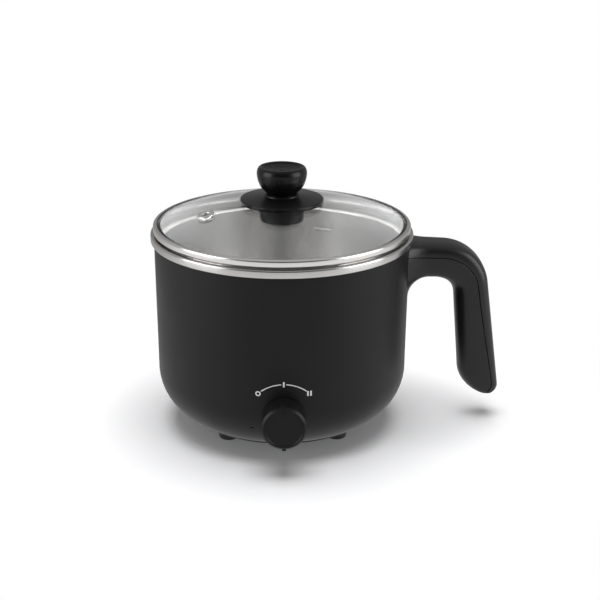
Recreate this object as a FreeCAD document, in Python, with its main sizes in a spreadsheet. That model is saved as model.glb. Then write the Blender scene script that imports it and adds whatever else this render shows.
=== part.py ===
import FreeCAD, Part
import collections
import math
import os
import re

import Sketcher
from FreeCAD import Placement, Rotation, Vector

# Electric hot pot with a loose glass lid, in millimetres.
# The origin lies on the pot's axis at the height of the surface it stands on. +Z is up,
# the control knob faces -Y, the handle points along +X and the power inlet faces +Y.

SIZES = (
    # The stack of heights
    ("foot_height", 7.0, "surface to the underside of the base cover"),
    ("body_height", 124.7, "underside of the base cover to the top of the pot's rim"),
    ("overrun", 20.0, "how far a cut or a trimmed boss runs past the material"),
    # Feet
    ("foot_radius", 6.5, "foot where it rests"),
    ("foot_flare", 0.9, "how much wider the foot is at the base cover"),
    ("foot_circle", 50.0, "radius of the circle that the feet stand on"),
    ("foot_angle", 45.0, "bearing of the first foot"),
    ("foot_stem", 2.4, "radius of the stem pushed through the base cover"),
    ("foot_round", 0.8, "rounding of the foot's lower edge"),
    ("foot_bead", 0.8, "bead above the base cover, wider than the stem"),
    ("foot_bead_rise", 0.6, "widest part of the bead above the base cover"),
    ("foot_stem_end", 3.0, "end of the stem above the base cover"),
    # Base cover
    ("base_radius", 61.8, "outer edge"),
    ("base_wall", 2.0, "thickness"),
    ("base_round", 1.0, "lower outer edge"),
    ("base_opening", 57.0, "radius of the shell's opening that the cover closes"),
    ("base_fit", 0.25, "play between the opening and the cover's ring"),
    ("base_ring", 2.2, "thickness of the ring that centres the cover"),
    ("base_ring_height", 5.0, "height of that ring above the flange"),
    ("slot_length", 13.0, "air slot, along the radius"),
    ("slot_width", 2.6, "air slot, across"),
    ("slot_round", 1.25, "ends of an air slot"),
    ("slot_circle", 25.0, "radius at the middle of the air slots"),
    ("slot_count", 10, "air slots"),
    # Posts and screws that clamp the shell between rim and base cover
    ("post_circle", 48.0, "radius of the circle of posts"),
    ("post_radius", 4.0, "post"),
    ("post_count", 3, "posts"),
    ("well_height", 6.5, "screw well above the base cover's inner face"),
    ("well_wall", 1.6, "wall of a screw well"),
    ("screw_radius", 1.75, "shank"),
    ("screw_head", 3.4, "radius of the head"),
    ("screw_head_height", 2.2, "height of the head"),
    ("screw_grip", 9.0, "length of shank inside a post"),
    ("screw_fit", 0.25, "play round a screw in a clearance hole"),
    ("screw_room", 1.0, "hole beyond the tip of a screw"),
    ("screw_round", 0.6, "rounding of a screw's head and tip"),
    # Outer shell
    ("shell_radius", 82.3, "at the belly"),
    ("shell_flare", 0.8, "how much wider the shell is at its top"),
    ("shell_wall", 2.2, "thickness"),
    ("shell_lip", 2.0, "thickness of the ring that the base cover closes against"),
    ("shell_inner_end", 3.0, "turned wall kept inside the start of its rounding"),
    ("belly_round", 34.5, "rounding from the wall to the underside"),
    ("belly_drop", 1.5, "lowest point of the full rounding below the base cover's underside"),
    # Inner pot
    ("pot_sheet", 0.7, "thickness of the steel"),
    ("pot_depth", 82.0, "rim top to pot floor"),
    ("pot_corner", 12.0, "rounding between floor and wall"),
    ("ledge_depth", 8.2, "rim top to the ledge that carries the lid"),
    ("ledge_width", 3.5, "ledge"),
    ("ledge_slope", 1.6, "how far the ledge falls towards the middle"),
    ("ledge_bend", 0.6, "rounding where the ledge meets the mouth"),
    ("ledge_shoulder", 1.4, "rounding where the ledge meets the wall"),
    ("rim_height", 5.1, "rolled rim"),
    ("rim_overhang", 2.2, "how far the rim stands out from the shell"),
    ("rim_round", 2.4, "rounding of the rolled rim"),
    ("rim_curl", 1.4, "how far the rim's lower edge turns back in"),
    ("curl_height", 2.0, "height of the turned-in edge"),
    ("curl_round", 1.6, "rounding above the turned-in edge"),
    ("rim_fit", 0.2, "play between pot and shell at the mouth"),
    ("gasket_height", 1.2, "silicone ring under the rim"),
    ("gasket_fit", 0.15, "play between the ring and the hollow of the rim"),
    ("gasket_inset", 0.1, "ring's inner edge from the shell's inner face"),
    # Heater
    ("plate_radius", 56.0, "heating plate"),
    ("plate_thickness", 4.5, "heating plate"),
    ("plate_round", 1.0, "lower edge of the heating plate"),
    ("tube_circle", 34.0, "radius of the heating tube's ring"),
    ("tube_radius", 3.3, "heating tube"),
    ("tube_sweep", 318.0, "angle that the heating tube covers"),
    ("tube_sink", 1.6, "depth of the groove that seats the heating tube"),
    ("tube_fit", 0.1, "solder gap round the heating tube"),
    ("cold_pin_radius", 1.4, "terminal pin of the heating tube"),
    ("cold_pin_length", 9.0, "terminal pin below the tube"),
    ("cold_bush_length", 4.0, "ceramic bush round a terminal pin"),
    ("cold_bush_radius", 2.8, "ceramic bush"),
    ("terminal_inset", 4.0, "angle from the tube's end back to its terminal pin"),
    ("terminal_fit", 0.05, "gap between the tube and the bush"),
    # Thermostat and fuse
    ("stat_radius", 8.2, "thermostat"),
    ("stat_cap", 3.6, "height of the metal cap"),
    ("stat_body", 7.5, "height of the ceramic body"),
    ("stat_step", 1.0, "how much slimmer the ceramic body is"),
    ("stat_round", 0.8, "upper edge of the metal cap"),
    ("stat_foot_round", 0.6, "lower edge of the ceramic body"),
    ("bracket_length", 40.0, "strap that holds the thermostat"),
    ("bracket_width", 9.0, "strap"),
    ("bracket_sheet", 1.0, "strap"),
    ("bracket_play", 2.0, "thermostat to the upright part of the strap"),
    ("strap_screw_head", 2.8, "head of the strap's screw"),
    ("strap_screw_rise", 1.6, "height of the head"),
    ("strap_screw_round", 0.8, "rounding of the head"),
    ("fuse_radius", 2.0, "thermal fuse"),
    ("fuse_length", 13.0, "thermal fuse"),
    ("fuse_place", 21.0, "distance of the fuse from the axis"),
    ("fuse_fit", 0.1, "play between the fuse and its clip"),
    ("clip_width", 6.0, "clip over the fuse"),
    ("clip_sheet", 0.8, "clip over the fuse"),
    ("clip_foot", 4.0, "flat foot of the clip"),
    # Rotary switch
    ("control_height", 28.5, "control axis above the base cover's underside"),
    ("switch_inset", 7.8, "shell's widest radius to the flat that carries the switch"),
    ("seat_radius", 13.0, "boss that carries the switch"),
    ("seat_thickness", 5.0, "boss between the switch and its nut"),
    ("switch_width", 22.0, "switch housing"),
    ("switch_depth", 17.0, "switch housing behind the seat"),
    ("switch_round", 2.0, "corners of the switch housing"),
    ("bushing_radius", 5.0, "threaded bushing"),
    ("bushing_fit", 0.15, "play between the bushing and its hole"),
    ("bushing_end", 0.8, "thread beyond the nut"),
    ("nut_size", 12.6, "across the flats"),
    ("nut_height", 2.4, "nut"),
    ("nut_play", 1.3, "play round the nut's corners"),
    ("nut_fit", 0.05, "play between the nut and the bushing"),
    ("nut_flat_margin", 0.6, "flat on the shell beyond the knob's hollow"),
    ("tag_width", 4.8, "switch tag"),
    ("tag_length", 6.5, "switch tag"),
    ("tag_sheet", 0.8, "switch tag"),
    ("tag_pitch", 6.5, "distance between switch tags"),
    ("shaft_radius", 3.0, "switch shaft"),
    ("shaft_flat", 2.2, "distance of the shaft's flat from its axis"),
    ("shaft_fit", 0.06, "running play round the shaft"),
    ("shaft_tail", 9.0, "length of shaft inside the switch housing"),
    ("shaft_end_play", 0.5, "bore beyond each end of the shaft"),
    # Control knob
    ("knob_radius", 14.0, "control knob"),
    ("knob_taper", 0.4, "how much slimmer the knob is at its back"),
    ("knob_length", 16.0, "control knob"),
    ("knob_gap", 0.8, "shell's widest radius to the back of the knob"),
    ("knob_bevel", 1.3, "bevel round the knob's face"),
    ("knob_lip", 1.0, "lip between the bevel and the sunk face"),
    ("knob_sink", 0.5, "depth of the sunk face"),
    ("knob_hollow", 5.0, "depth of the hollow that covers the nut"),
    ("knob_bore_depth", 7.5, "depth of the shaft's bore beyond the hollow"),
    ("rib_width", 2.4, "index rib on the knob"),
    ("rib_rise", 1.0, "index rib on the knob"),
    ("rib_start", 1.5, "index rib from the knob's back"),
    ("rib_root", 2.0, "depth of the index rib inside the knob"),
    ("notch_width", 1.4, "pointer notch in the knob's lip"),
    ("notch_depth", 0.7, "pointer notch in the knob's lip"),
    ("notch_length", 2.5, "pointer notch on the sunk face"),
    # Indicator
    ("lamp_offset", 19.8, "sideways from the control axis"),
    ("lamp_height", 20.0, "above the base cover's underside"),
    ("lamp_inset", 10.8, "shell's widest radius to the flat that carries the light pipe"),
    ("lamp_boss", 4.5, "radius of the boss round the light pipe"),
    ("pipe_radius", 0.9, "light pipe"),
    ("pipe_fit", 0.05, "play round the light pipe"),
    ("pipe_sink", 0.8, "light pipe's end below the shell's face"),
    ("pipe_flange", 3.0, "radius of the light pipe's flange"),
    ("pipe_flange_sheet", 1.2, "light pipe's flange"),
    ("lamp_radius", 2.5, "neon lamp"),
    ("lamp_length", 11.0, "neon lamp"),
    ("lamp_round", 1.0, "front edge of the lamp"),
    # Power inlet
    ("inlet_height", 29.0, "inlet's middle above the base cover's underside"),
    ("inlet_inset", 9.8, "shell's widest radius to the flat under the inlet's flange"),
    ("inlet_boss_wall", 2.5, "thickness of the boss behind the inlet's flange"),
    ("inlet_boss_edge", 2.0, "boss beyond the inlet's flange"),
    ("inlet_width", 24.4, "cavity for the connector"),
    ("inlet_rise", 16.4, "cavity for the connector"),
    ("inlet_depth", 15.0, "cavity for the connector"),
    ("inlet_corner", 4.5, "cut corners of the cavity"),
    ("inlet_wall", 1.4, "wall round the cavity"),
    ("inlet_floor", 2.0, "wall behind the cavity"),
    ("inlet_flange", 2.2, "flange beyond the housing"),
    ("inlet_flange_sheet", 2.0, "flange"),
    ("inlet_fit", 0.2, "play round the housing and its flange"),
    ("inlet_round", 1.2, "upright corners of the housing and its flange"),
    ("pin_width", 2.0, "blade of the inlet, across"),
    ("pin_rise", 4.0, "blade of the inlet, upright"),
    ("pin_pitch", 7.0, "outer blades from the middle"),
    ("pin_stagger", 4.0, "earth blade above the outer blades"),
    ("pin_reach", 12.5, "blade inside the cavity"),
    ("pin_tail", 7.0, "blade behind the housing"),
    ("pin_fit", 0.05, "play round a blade in the housing's floor"),
    # Handle
    ("handle_width", 25.0, "along Y"),
    ("handle_round", 6.0, "rounding of the handle's long edges"),
    ("handle_fit", 0.15, "play between the handle's root and the shell"),
    ("arm_drop", 7.4, "rim top to the top of the arm"),
    ("arm_slope", 2.0, "how far the arm falls towards its corner"),
    ("arm_level", 12.0, "length of the arm's top that stays level"),
    ("arm_crown", 60.0, "rounding where the arm's top begins to fall"),
    ("arm_height", 22.6, "depth of the arm"),
    ("arm_round", 31.0, "rounding of the outer corner"),
    ("grip_growth", 7.8, "how much thicker the grip is at its tip"),
    ("finger_room", 29.6, "shell to the inner corner of the grip"),
    ("finger_splay", 7.4, "how much further out the grip's inner face ends"),
    ("grip_thickness", 19.1, "grip below the arm's corner"),
    ("finger_round", 10.0, "rounding of the inner corner"),
    ("tip_height", 10.4, "grip's tip above the base cover's underside"),
    ("tip_round", 7.0, "outer rounding of the tip"),
    ("tip_inner_round", 17.0, "inner rounding of the tip"),
    ("root_depth", 36.0, "height of the root where it meets the shell"),
    ("root_edge", 1.6, "thickness of the root's lower edge"),
    ("root_round", 12.5, "rounding under the arm"),
    ("cover_thickness", 8.7, "outer moulding of the handle"),
    ("seam_gap", 0.3, "joint line between the two mouldings"),
    ("tongue_width", 8.0, "tongue of the outer moulding, along Y"),
    ("tongue_height", 2.5, "tongue of the outer moulding"),
    ("root_screw_grip", 11.0, "length of shank inside the handle"),
    ("root_head_height", 1.6, "head of a handle screw"),
    ("root_head_sink", 0.35, "head of a handle screw clear of the shell's inner face"),
    # Lid
    ("lid_rest", 0.3, "lid's skirt above the pot's ledge"),
    ("lid_gap", 1.5, "rim top to the underside of the band"),
    ("lid_play", 0.8, "pot's mouth to the lid's skirt"),
    ("band_sheet", 0.6, "steel band"),
    ("band_flange", 4.3, "band's edge beyond its skirt"),
    ("band_height", 4.0, "band's edge"),
    ("band_round", 1.6, "rounding of the band's upper edge"),
    ("band_lap", 2.4, "how far the band laps over the glass"),
    ("lap_fit", 0.1, "gap between the band's lap and the glass"),
    ("band_bend", 0.5, "rounding under the shelf"),
    ("band_foot_round", 0.8, "rounding of the band's lower edge"),
    ("glass_play", 0.6, "glass edge to the inside of the band"),
    ("glass_edge", 2.5, "thickness of the glass at its edge"),
    ("glass_thickness", 4.0, "glass away from its edge"),
    ("dome_radius", 229.0, "curvature of the glass"),
    ("vent_circle", 51.0, "radius at the steam hole"),
    ("vent_angle", 198.4, "bearing of the steam hole"),
    ("vent_radius", 2.5, "steam hole"),
    ("vent_wall", 0.8, "tube of the grommet"),
    ("vent_flange", 5.6, "radius of the grommet's flange"),
    ("vent_flange_sheet", 0.8, "flange of the grommet"),
    ("vent_lower_step", 0.8, "how much smaller the lower flange is"),
    ("vent_round", 0.64, "rounding of the upper flange"),
    ("vent_fit", 0.15, "play between the grommet and the glass"),
    # Lid knob
    ("disc_radius", 26.7, "disc under the lid knob"),
    ("disc_gap", 0.35, "disc's edge above the glass"),
    ("disc_edge", 2.3, "thickness of the disc's edge"),
    ("disc_wall", 2.2, "thickness of the disc at its middle"),
    ("disc_lip", 1.8, "thickness of the disc's edge in plan"),
    ("disc_lean", 0.3, "how much the disc's edge leans in at its foot"),
    ("disc_round", 0.9, "rounding of the disc's edge, and the edge's inner step"),
    ("disc_play", 0.6, "play round the washer"),
    ("collar_radius", 11.4, "raised collar of the disc"),
    ("collar_height", 1.0, "raised collar of the disc"),
    ("collar_round", 0.5, "rounding of the collar"),
    ("washer_radius", 12.0, "silicone washer"),
    ("washer_height", 1.0, "silicone washer"),
    ("neck_radius", 9.6, "knob's neck where it stands on the disc"),
    ("neck_height", 3.6, "knob's neck"),
    ("neck_play", 0.3, "play between the neck and the collar"),
    ("neck_flare", 0.5, "how much wider the neck is where the flare begins"),
    ("neck_round", 2.5, "rounding from the neck into the flare"),
    ("bulb_radius", 15.7, "widest part of the knob"),
    ("bulb_height", 18.8, "knob above the disc"),
    ("bulb_shoulder", 8.0, "height where the flare ends"),
    ("shoulder_step", 1.4, "how much slimmer the knob is where the flare ends"),
    ("shoulder_round", 6.0, "rounding where the flare ends"),
    ("bulb_swell", 0.3, "crown's corner beyond the widest part, before rounding"),
    ("crown_drop", 5.0, "crown's corner below the knob's top"),
    ("crown_round", 7.0, "rounding of the crown"),
    ("top_step", 0.4, "how much slimmer the knob is at its top"),
    ("top_round", 1.8, "rounding of the knob's top edge"),
    ("dish_radius", 13.2, "hollow in the knob's top"),
    ("dish_depth", 2.6, "hollow in the knob's top"),
    ("dish_edge", 0.5, "rounding at the edge of the hollow"),
    ("dish_floor", 7.3, "radius of the hollow's flat floor"),
    ("dish_round", 8.0, "rounding between the hollow's side and floor"),
    ("cap_radius", 13.5, "cap under the glass"),
    ("cap_height", 9.0, "cap under the glass"),
    ("cap_taper", 0.6, "how much slimmer the cap is at its lower end"),
    ("cap_fit", 0.05, "gap between the cap and the glass"),
    ("cap_round", 1.2, "rounding of the cap's lower edge"),
    ("bolt_radius", 2.5, "lid screw"),
    ("bolt_head", 4.4, "head of the lid screw"),
    ("bolt_head_height", 3.0, "head of the lid screw"),
    ("bolt_grip", 9.0, "length of screw inside the knob"),
    ("bolt_fit", 0.3, "play round the lid screw"),
    ("bolt_round", 0.8, "rounding of the screw's head and tip"),
    ("bolt_seat", 3.5, "cap's wall above the screw's head"),
)

# Places that follow from the sizes, as formulas of the sheet.
BASE_TOP = "(foot_height + base_wall)"
BELLY_FLOOR = "(foot_height - belly_drop)"
BELLY_TOP = f"({BELLY_FLOOR} + belly_round)"
RIM_TOP = "(foot_height + body_height)"
RIM_FOOT = f"({RIM_TOP} - rim_height)"
LEDGE = f"({RIM_TOP} - ledge_depth)"
SHELL_TOP = f"({RIM_TOP} - pot_sheet - gasket_height)"
POT_FLOOR = f"({RIM_TOP} - pot_depth)"
PLATE_TOP = f"({POT_FLOOR} - pot_sheet)"
PLATE_FOOT = f"({PLATE_TOP} - plate_thickness)"
TUBE_AXIS = f"({PLATE_FOOT} + tube_sink - tube_radius - tube_fit)"
WELL_TOP = f"({BASE_TOP} + well_height)"

MOUTH_OUTSIDE = "(shell_radius + shell_flare)"
RIM_RADIUS = f"({MOUTH_OUTSIDE} + rim_overhang)"
POT_MOUTH = f"({MOUTH_OUTSIDE} - shell_wall - rim_fit - pot_sheet)"
POT_RADIUS = f"({POT_MOUTH} - ledge_width)"

CONTROL_AXIS = "(foot_height + control_height)"
SWITCH_SEAT = "(shell_radius - switch_inset)"
NUT_SEAT = f"({SWITCH_SEAT} + seat_thickness)"
KNOB_BACK = f"({MOUTH_OUTSIDE} - shell_flare + knob_gap)"
NUT_ROOM = "(nut_size / sqrt(3) + nut_play)"
LAMP_AXIS = "(foot_height + lamp_height)"
LAMP_SEAT = "(shell_radius - lamp_inset)"
INLET_AXIS = "(foot_height + inlet_height)"
INLET_SEAT = "(shell_radius - inlet_inset)"

GRIP_INSIDE = f"({MOUTH_OUTSIDE} + finger_room)"
ARM_REACH = f"({GRIP_INSIDE} + grip_thickness)"
GRIP_SPLAY = "(finger_splay + grip_growth)"
ARM_TOP = f"({RIM_TOP} - arm_drop)"
ARM_CORNER = f"({ARM_TOP} - arm_slope)"
ARM_FOOT = f"({ARM_TOP} - arm_height)"
TIP = "(foot_height + tip_height)"
GRIP_LEAN = f"({GRIP_SPLAY} / ({ARM_CORNER} - {TIP}))"
HANDLE_FACE = f"({MOUTH_OUTSIDE} + handle_fit)"
COVER_SCREW = f"({ARM_TOP} - cover_thickness)"
GRIP_SCREW = f"({ARM_FOOT} + (arm_height - cover_thickness - tongue_height) / 2)"

LID_SEAT = f"({RIM_TOP} + lid_gap)"
BAND_TOP = f"({LID_SEAT} + band_height)"
SKIRT_RADIUS = f"({POT_MOUTH} - lid_play)"
BAND_RADIUS = f"({SKIRT_RADIUS} + band_flange)"
GLASS_RADIUS = f"({BAND_RADIUS} - band_sheet - glass_play)"
GLASS_SEAT = f"({LID_SEAT} + band_sheet)"
DOME_CENTRE = f"({GLASS_SEAT} + glass_edge - sqrt(dome_radius^2 - {GLASS_RADIUS}^2))"
APEX = f"({DOME_CENTRE} + dome_radius)"
DISC_SEAT = f"({APEX} + washer_height)"
DISC_TOP = f"({DISC_SEAT} + disc_wall)"
CAP_TOP = f"({APEX} - glass_thickness)"

# Two places nearer than this are the same place.
TOUCH = 0.001

doc = FreeCAD.newDocument("hot_pot")
sheet = doc.addObject("Spreadsheet::Sheet", "Sizes")
nodes = []

Corner = collections.namedtuple("Corner", "x y round bow side", defaults=("", "", 1))


# ---------------------------------------------------------------- sheet and formulas

def fill_sheet():
    """One row for each driving size: its name, its value and what it measures."""
    for row, (alias, size, note) in enumerate(SIZES, start=1):
        sheet.set(f"A{row}", alias)
        sheet.set(f"B{row}", str(size))
        sheet.set(f"C{row}", note)
        sheet.setAlias(f"B{row}", alias)
    doc.recompute()


ALIAS = re.compile(r"\b(" + "|".join(size[0] for size in SIZES) + r")\b")


def formula(text):
    """The text with each size's name pointed at the sheet."""
    return ALIAS.sub(r"Sizes.\1", text)


def value(text):
    """What a formula comes to now."""
    return float(sheet.evalExpression(formula(text)))


def bind(thing, prop, text):
    """Ties a property to a formula."""
    thing.setExpression(prop, formula(text))


def belly_radius(height, inset="0"):
    """Radius of the rounded lower shell at a height, measured that far inside its face."""
    return (f"(shell_radius - belly_round + sqrt((belly_round - {inset})^2"
            f" - ({BELLY_TOP} - {height})^2))")


def dome_height(radius, inset="0"):
    """Height of the glass at a radius, measured that far below its upper face."""
    return f"({DOME_CENTRE} + sqrt((dome_radius - {inset})^2 - ({radius})^2))"


# ---------------------------------------------------------------- bodies and sketches

def new_body(label, exported=True):
    """A body whose label names its node."""
    body = doc.addObject("PartDesign::Body", label)
    body.Label = label
    if exported:
        nodes.append(body)
    return body


def put(thing, x="0", y="0", z="0"):
    """Ties a piece's place to formulas."""
    for axis, text in zip("xyz", (x, y, z)):
        if text != "0":
            bind(thing, f"Placement.Base.{axis}", text)


def new_sketch(body, name, role, offset="0"):
    """A sketch on one of the body's own origin planes, moved along the plane's normal."""
    sketch = body.newObject("Sketcher::SketchObject", name)
    plane = next(item for item in body.Origin.OriginFeatures if item.Role == role)
    sketch.AttachmentSupport = (plane, [""])
    sketch.MapMode = "FlatFace"
    if offset != "0":
        bind(sketch, "AttachmentOffset.Base.z", offset)
    return sketch


def fix_point(sketch, edge, end, x, y):
    """Dimensions from the sketch's origin to one end of an edge."""
    for kind, axis, text in (("DistanceX", -2, x), ("DistanceY", -1, y)):
        if text == "0":
            sketch.addConstraint(Sketcher.Constraint("PointOnObject", edge, end, axis))
            continue
        rule = Sketcher.Constraint(kind, -1, 1, edge, end, value(text))
        bind(sketch, f"Constraints[{sketch.addConstraint(rule)}]", text)


def fix_radius(sketch, arc, text):
    """Radius dimension of an arc or circle."""
    rule = Sketcher.Constraint("Radius", arc, value(text))
    bind(sketch, f"Constraints[{sketch.addConstraint(rule)}]", text)


def add_arc(sketch, start, end, centre, counter):
    """Arc from start to end; returns its number and which of its ends is which."""
    first, last = (start, end) if counter else (end, start)
    spoke_a = first - centre
    spoke_b = last - centre
    circle = Part.Circle(centre, Vector(0, 0, 1), spoke_a.Length)
    angles = [math.atan2(spoke.y, spoke.x) for spoke in (spoke_a, spoke_b)]
    number = sketch.addGeometry(Part.ArcOfCircle(circle, *angles), False)
    return (number, 1, 2) if counter else (number, 2, 1)


def tangent_points(before, at, after, radius):
    """Where an arc of that radius touches the two sides of a corner, and its centre."""
    back = (before - at).normalize()
    ahead = (after - at).normalize()
    half = back.getAngle(ahead) / 2
    reach = radius / math.tan(half)
    middle = (back + ahead).normalize() * (radius / math.sin(half))
    return at + back * reach, at + ahead * reach, at + middle


def outline(sketch, corners):
    """Closed outline through corners: straight sides, rounded corners and bowed sides."""
    count = len(corners)
    points = [Vector(value(corner.x), value(corner.y), 0) for corner in corners]
    starts = list(points)
    ends = points[1:] + points[:1]
    middles = {}
    for i, corner in enumerate(corners):
        if corner.round:
            before, at, after = points[i - 1], points[i], points[(i + 1) % count]
            touch_in, touch_out, middles[i] = tangent_points(before, at, after, value(corner.round))
            ends[i - 1] = touch_in
            starts[i] = touch_out
    sides = []
    for i, corner in enumerate(corners):
        if not corner.bow:
            line = sketch.addGeometry(Part.LineSegment(starts[i], ends[i]), False)
            sides.append((line, 1, 2))
            continue
        chord = ends[i] - starts[i]
        across = Vector(-chord.y, chord.x, 0).normalize() * corner.side
        height = math.sqrt(value(corner.bow) ** 2 - chord.Length ** 2 / 4)
        centre = (starts[i] + ends[i]) * 0.5 + across * height
        sides.append(add_arc(sketch, starts[i], ends[i], centre, corner.side > 0))
        fix_radius(sketch, sides[-1][0], corner.bow)
    for i, corner in enumerate(corners):
        side_in, _, end_in = sides[i - 1]
        side_out, start_out, _ = sides[i]
        if not corner.round:
            sketch.addConstraint(Sketcher.Constraint("Coincident", side_in, end_in, side_out, start_out))
            fix_point(sketch, side_out, start_out, corner.x, corner.y)
            continue
        mark = sketch.addGeometry(Part.Point(points[i]), True)
        fix_point(sketch, mark, 1, corner.x, corner.y)
        for side in (side_in, side_out):
            sketch.addConstraint(Sketcher.Constraint("PointOnObject", mark, 1, side))
        turn = (ends[i - 1] - starts[i - 1]).cross(ends[i] - starts[i]).z
        arc, start, end = add_arc(sketch, ends[i - 1], starts[i], middles[i], turn > 0)
        sketch.addConstraint(Sketcher.Constraint("Tangent", side_in, end_in, arc, start))
        sketch.addConstraint(Sketcher.Constraint("Tangent", arc, end, side_out, start_out))
        fix_radius(sketch, arc, corner.round)


def rectangle(sketch, left, right, low, high, corner=""):
    """Upright rectangle, its corners rounded if a radius is given."""
    outline(sketch, [Corner(x, y, corner)
                     for x, y in ((left, low), (right, low), (right, high), (left, high))])


def circle(sketch, radius, x="0", y="0"):
    """Circle about a point."""
    centre = Vector(value(x), value(y), 0)
    number = sketch.addGeometry(Part.Circle(centre, Vector(0, 0, 1), value(radius)), False)
    if x == "0" and y == "0":
        sketch.addConstraint(Sketcher.Constraint("Coincident", number, 3, -1, 1))
    else:
        fix_point(sketch, number, 3, x, y)
    fix_radius(sketch, number, radius)


# ---------------------------------------------------------------- features

def feature(body, kind, sketch):
    """A sketch-based feature of the body."""
    step = body.newObject(f"PartDesign::{kind}", kind)
    step.Profile = sketch
    return step


def turned(body, corners, kind="Revolution", angle="360"):
    """Turns an outline of radius and height about the body's Z axis."""
    sketch = new_sketch(body, "Section", "XZ_Plane")
    outline(sketch, corners)
    step = feature(body, kind, sketch)
    step.ReferenceAxis = (sketch, ["V_Axis"])
    if angle == "360":
        step.Angle = 360
    else:
        bind(step, "Angle", angle)
    return step


def pad(body, sketch, length, backwards=False, both_ways=False):
    """Material from the sketch along its normal."""
    step = feature(body, "Pad", sketch)
    bind(step, "Length", length)
    step.Reversed = backwards
    if both_ways:
        step.SideType = "Symmetric"
    return step


def pocket(body, sketch, length, along_normal=False):
    """Cut from the sketch against its normal, or along it."""
    step = feature(body, "Pocket", sketch)
    bind(step, "Length", length)
    step.Reversed = along_normal
    return step


def around(body, steps, count):
    """Repeats features at even angles about the body's Z axis."""
    pattern = body.newObject("PartDesign::PolarPattern", "PolarPattern")
    pattern.Originals = steps
    axis = next(item for item in body.Origin.OriginFeatures if item.Role == "Z_Axis")
    pattern.Axis = (axis, [""])
    pattern.Angle = 360
    bind(pattern, "Occurrences", count)
    body.Tip = pattern
    return pattern


def group(label, pieces):
    """Separate solids that share one node."""
    bundle = doc.addObject("Part::Compound", label)
    bundle.Label = label
    bundle.Links = pieces
    nodes.append(bundle)
    return bundle


def boolean(label, kind, base, tool, exported=True):
    """Cut, fuse or common of two shapes as one piece."""
    result = doc.addObject(f"Part::{kind}", label)
    result.Label = label
    result.Base = base
    result.Tool = tool
    if exported:
        nodes.append(result)
    return result


def face_front(piece, distance, height, x="0"):
    """Stands a piece that was drawn along +Z so that it points along -Y."""
    piece.Placement = Placement(Vector(), Rotation(Vector(1, 0, 0), 90))
    put(piece, x, f"-{distance}", height)


def face_back(piece, distance, height):
    """Stands a piece that was drawn along +Z so that it points along +Y."""
    piece.Placement = Placement(Vector(), Rotation(Vector(0, 0, 1), 180) * Rotation(Vector(1, 0, 0), 90))
    put(piece, "0", distance, height)


def face_right(piece, distance, height):
    """Stands a piece that was drawn along +Z so that it points along +X."""
    piece.Placement = Placement(Vector(), Rotation(Vector(0, 1, 0), 90))
    put(piece, distance, "0", height)


# ---------------------------------------------------------------- shell

def shell_boss(body, sketch_name, seat, draw, rear=False):
    """A boss inside the shell with its flat at that distance from the axis."""
    sketch = new_sketch(body, sketch_name, "XZ_Plane", f"-{seat}" if rear else seat)
    draw(sketch)
    pad(body, sketch, f"({MOUTH_OUTSIDE} + overrun - {seat})", backwards=rear)


def outer_shell():
    """Moulded shell: a turned wall with bosses for the switch, the light pipe and the inlet."""
    body = new_body("outer_shell")
    lip_top = f"({BASE_TOP} + shell_lip)"
    inner_end = "(shell_radius - belly_round - shell_inner_end)"
    face = [
        Corner(inner_end, BELLY_FLOOR),
        Corner("shell_radius", BELLY_FLOOR, "belly_round"),
        Corner(MOUTH_OUTSIDE, SHELL_TOP),
    ]
    turned(body, face + [
        Corner(f"({MOUTH_OUTSIDE} - shell_wall)", SHELL_TOP),
        Corner("(shell_radius - shell_wall)", BELLY_TOP, "", "(belly_round - shell_wall)", -1),
        Corner(belly_radius(lip_top, "shell_wall"), lip_top),
        Corner(inner_end, lip_top),
    ])
    shell_boss(body, "SwitchBoss", SWITCH_SEAT, switch_boss_outline)
    shell_boss(body, "LampBoss", LAMP_SEAT, lamp_boss_outline)
    shell_boss(body, "InletBoss", f"({INLET_SEAT} - inlet_boss_wall)", inlet_boss_outline, rear=True)
    outside = f"({MOUTH_OUTSIDE} + 3 * overrun)"
    turned(body, face + [
        Corner(outside, SHELL_TOP),
        Corner(outside, "-overrun"),
        Corner(inner_end, "-overrun"),
    ], "Groove")
    turned(body, [
        Corner("0", "-overrun"),
        Corner("shell_radius", "-overrun"),
        Corner("shell_radius", BASE_TOP),
        Corner("base_opening", BASE_TOP),
        Corner("base_opening", f"({lip_top} + shell_lip)"),
        Corner("0", f"({lip_top} + shell_lip)"),
    ], "Groove")
    front_cuts(body)
    rear_cuts(body)
    handle_holes(body)
    return body


def switch_boss_outline(sketch):
    """Outline of the boss that carries the switch."""
    circle(sketch, "seat_radius", "0", CONTROL_AXIS)


def lamp_boss_outline(sketch):
    """Outline of the boss round the light pipe."""
    circle(sketch, "lamp_boss", "-lamp_offset", LAMP_AXIS)


def front_cuts(body):
    """Holes for the switch's bushing and the light pipe, and the flat for the nut."""
    hole = new_sketch(body, "BushingHole", "XZ_Plane")
    circle(hole, "(bushing_radius + bushing_fit)", "0", CONTROL_AXIS)
    pocket(body, hole, "(shell_radius + overrun)", along_normal=True)
    flat = new_sketch(body, "NutFlat", "XZ_Plane", NUT_SEAT)
    circle(flat, f"({NUT_ROOM} + nut_flat_margin)", "0", CONTROL_AXIS)
    pocket(body, flat, "overrun", along_normal=True)
    lens = new_sketch(body, "PipeHole", "XZ_Plane")
    circle(lens, "(pipe_radius + pipe_fit)", "-lamp_offset", LAMP_AXIS)
    pocket(body, lens, "(shell_radius + overrun)", along_normal=True)


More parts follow.
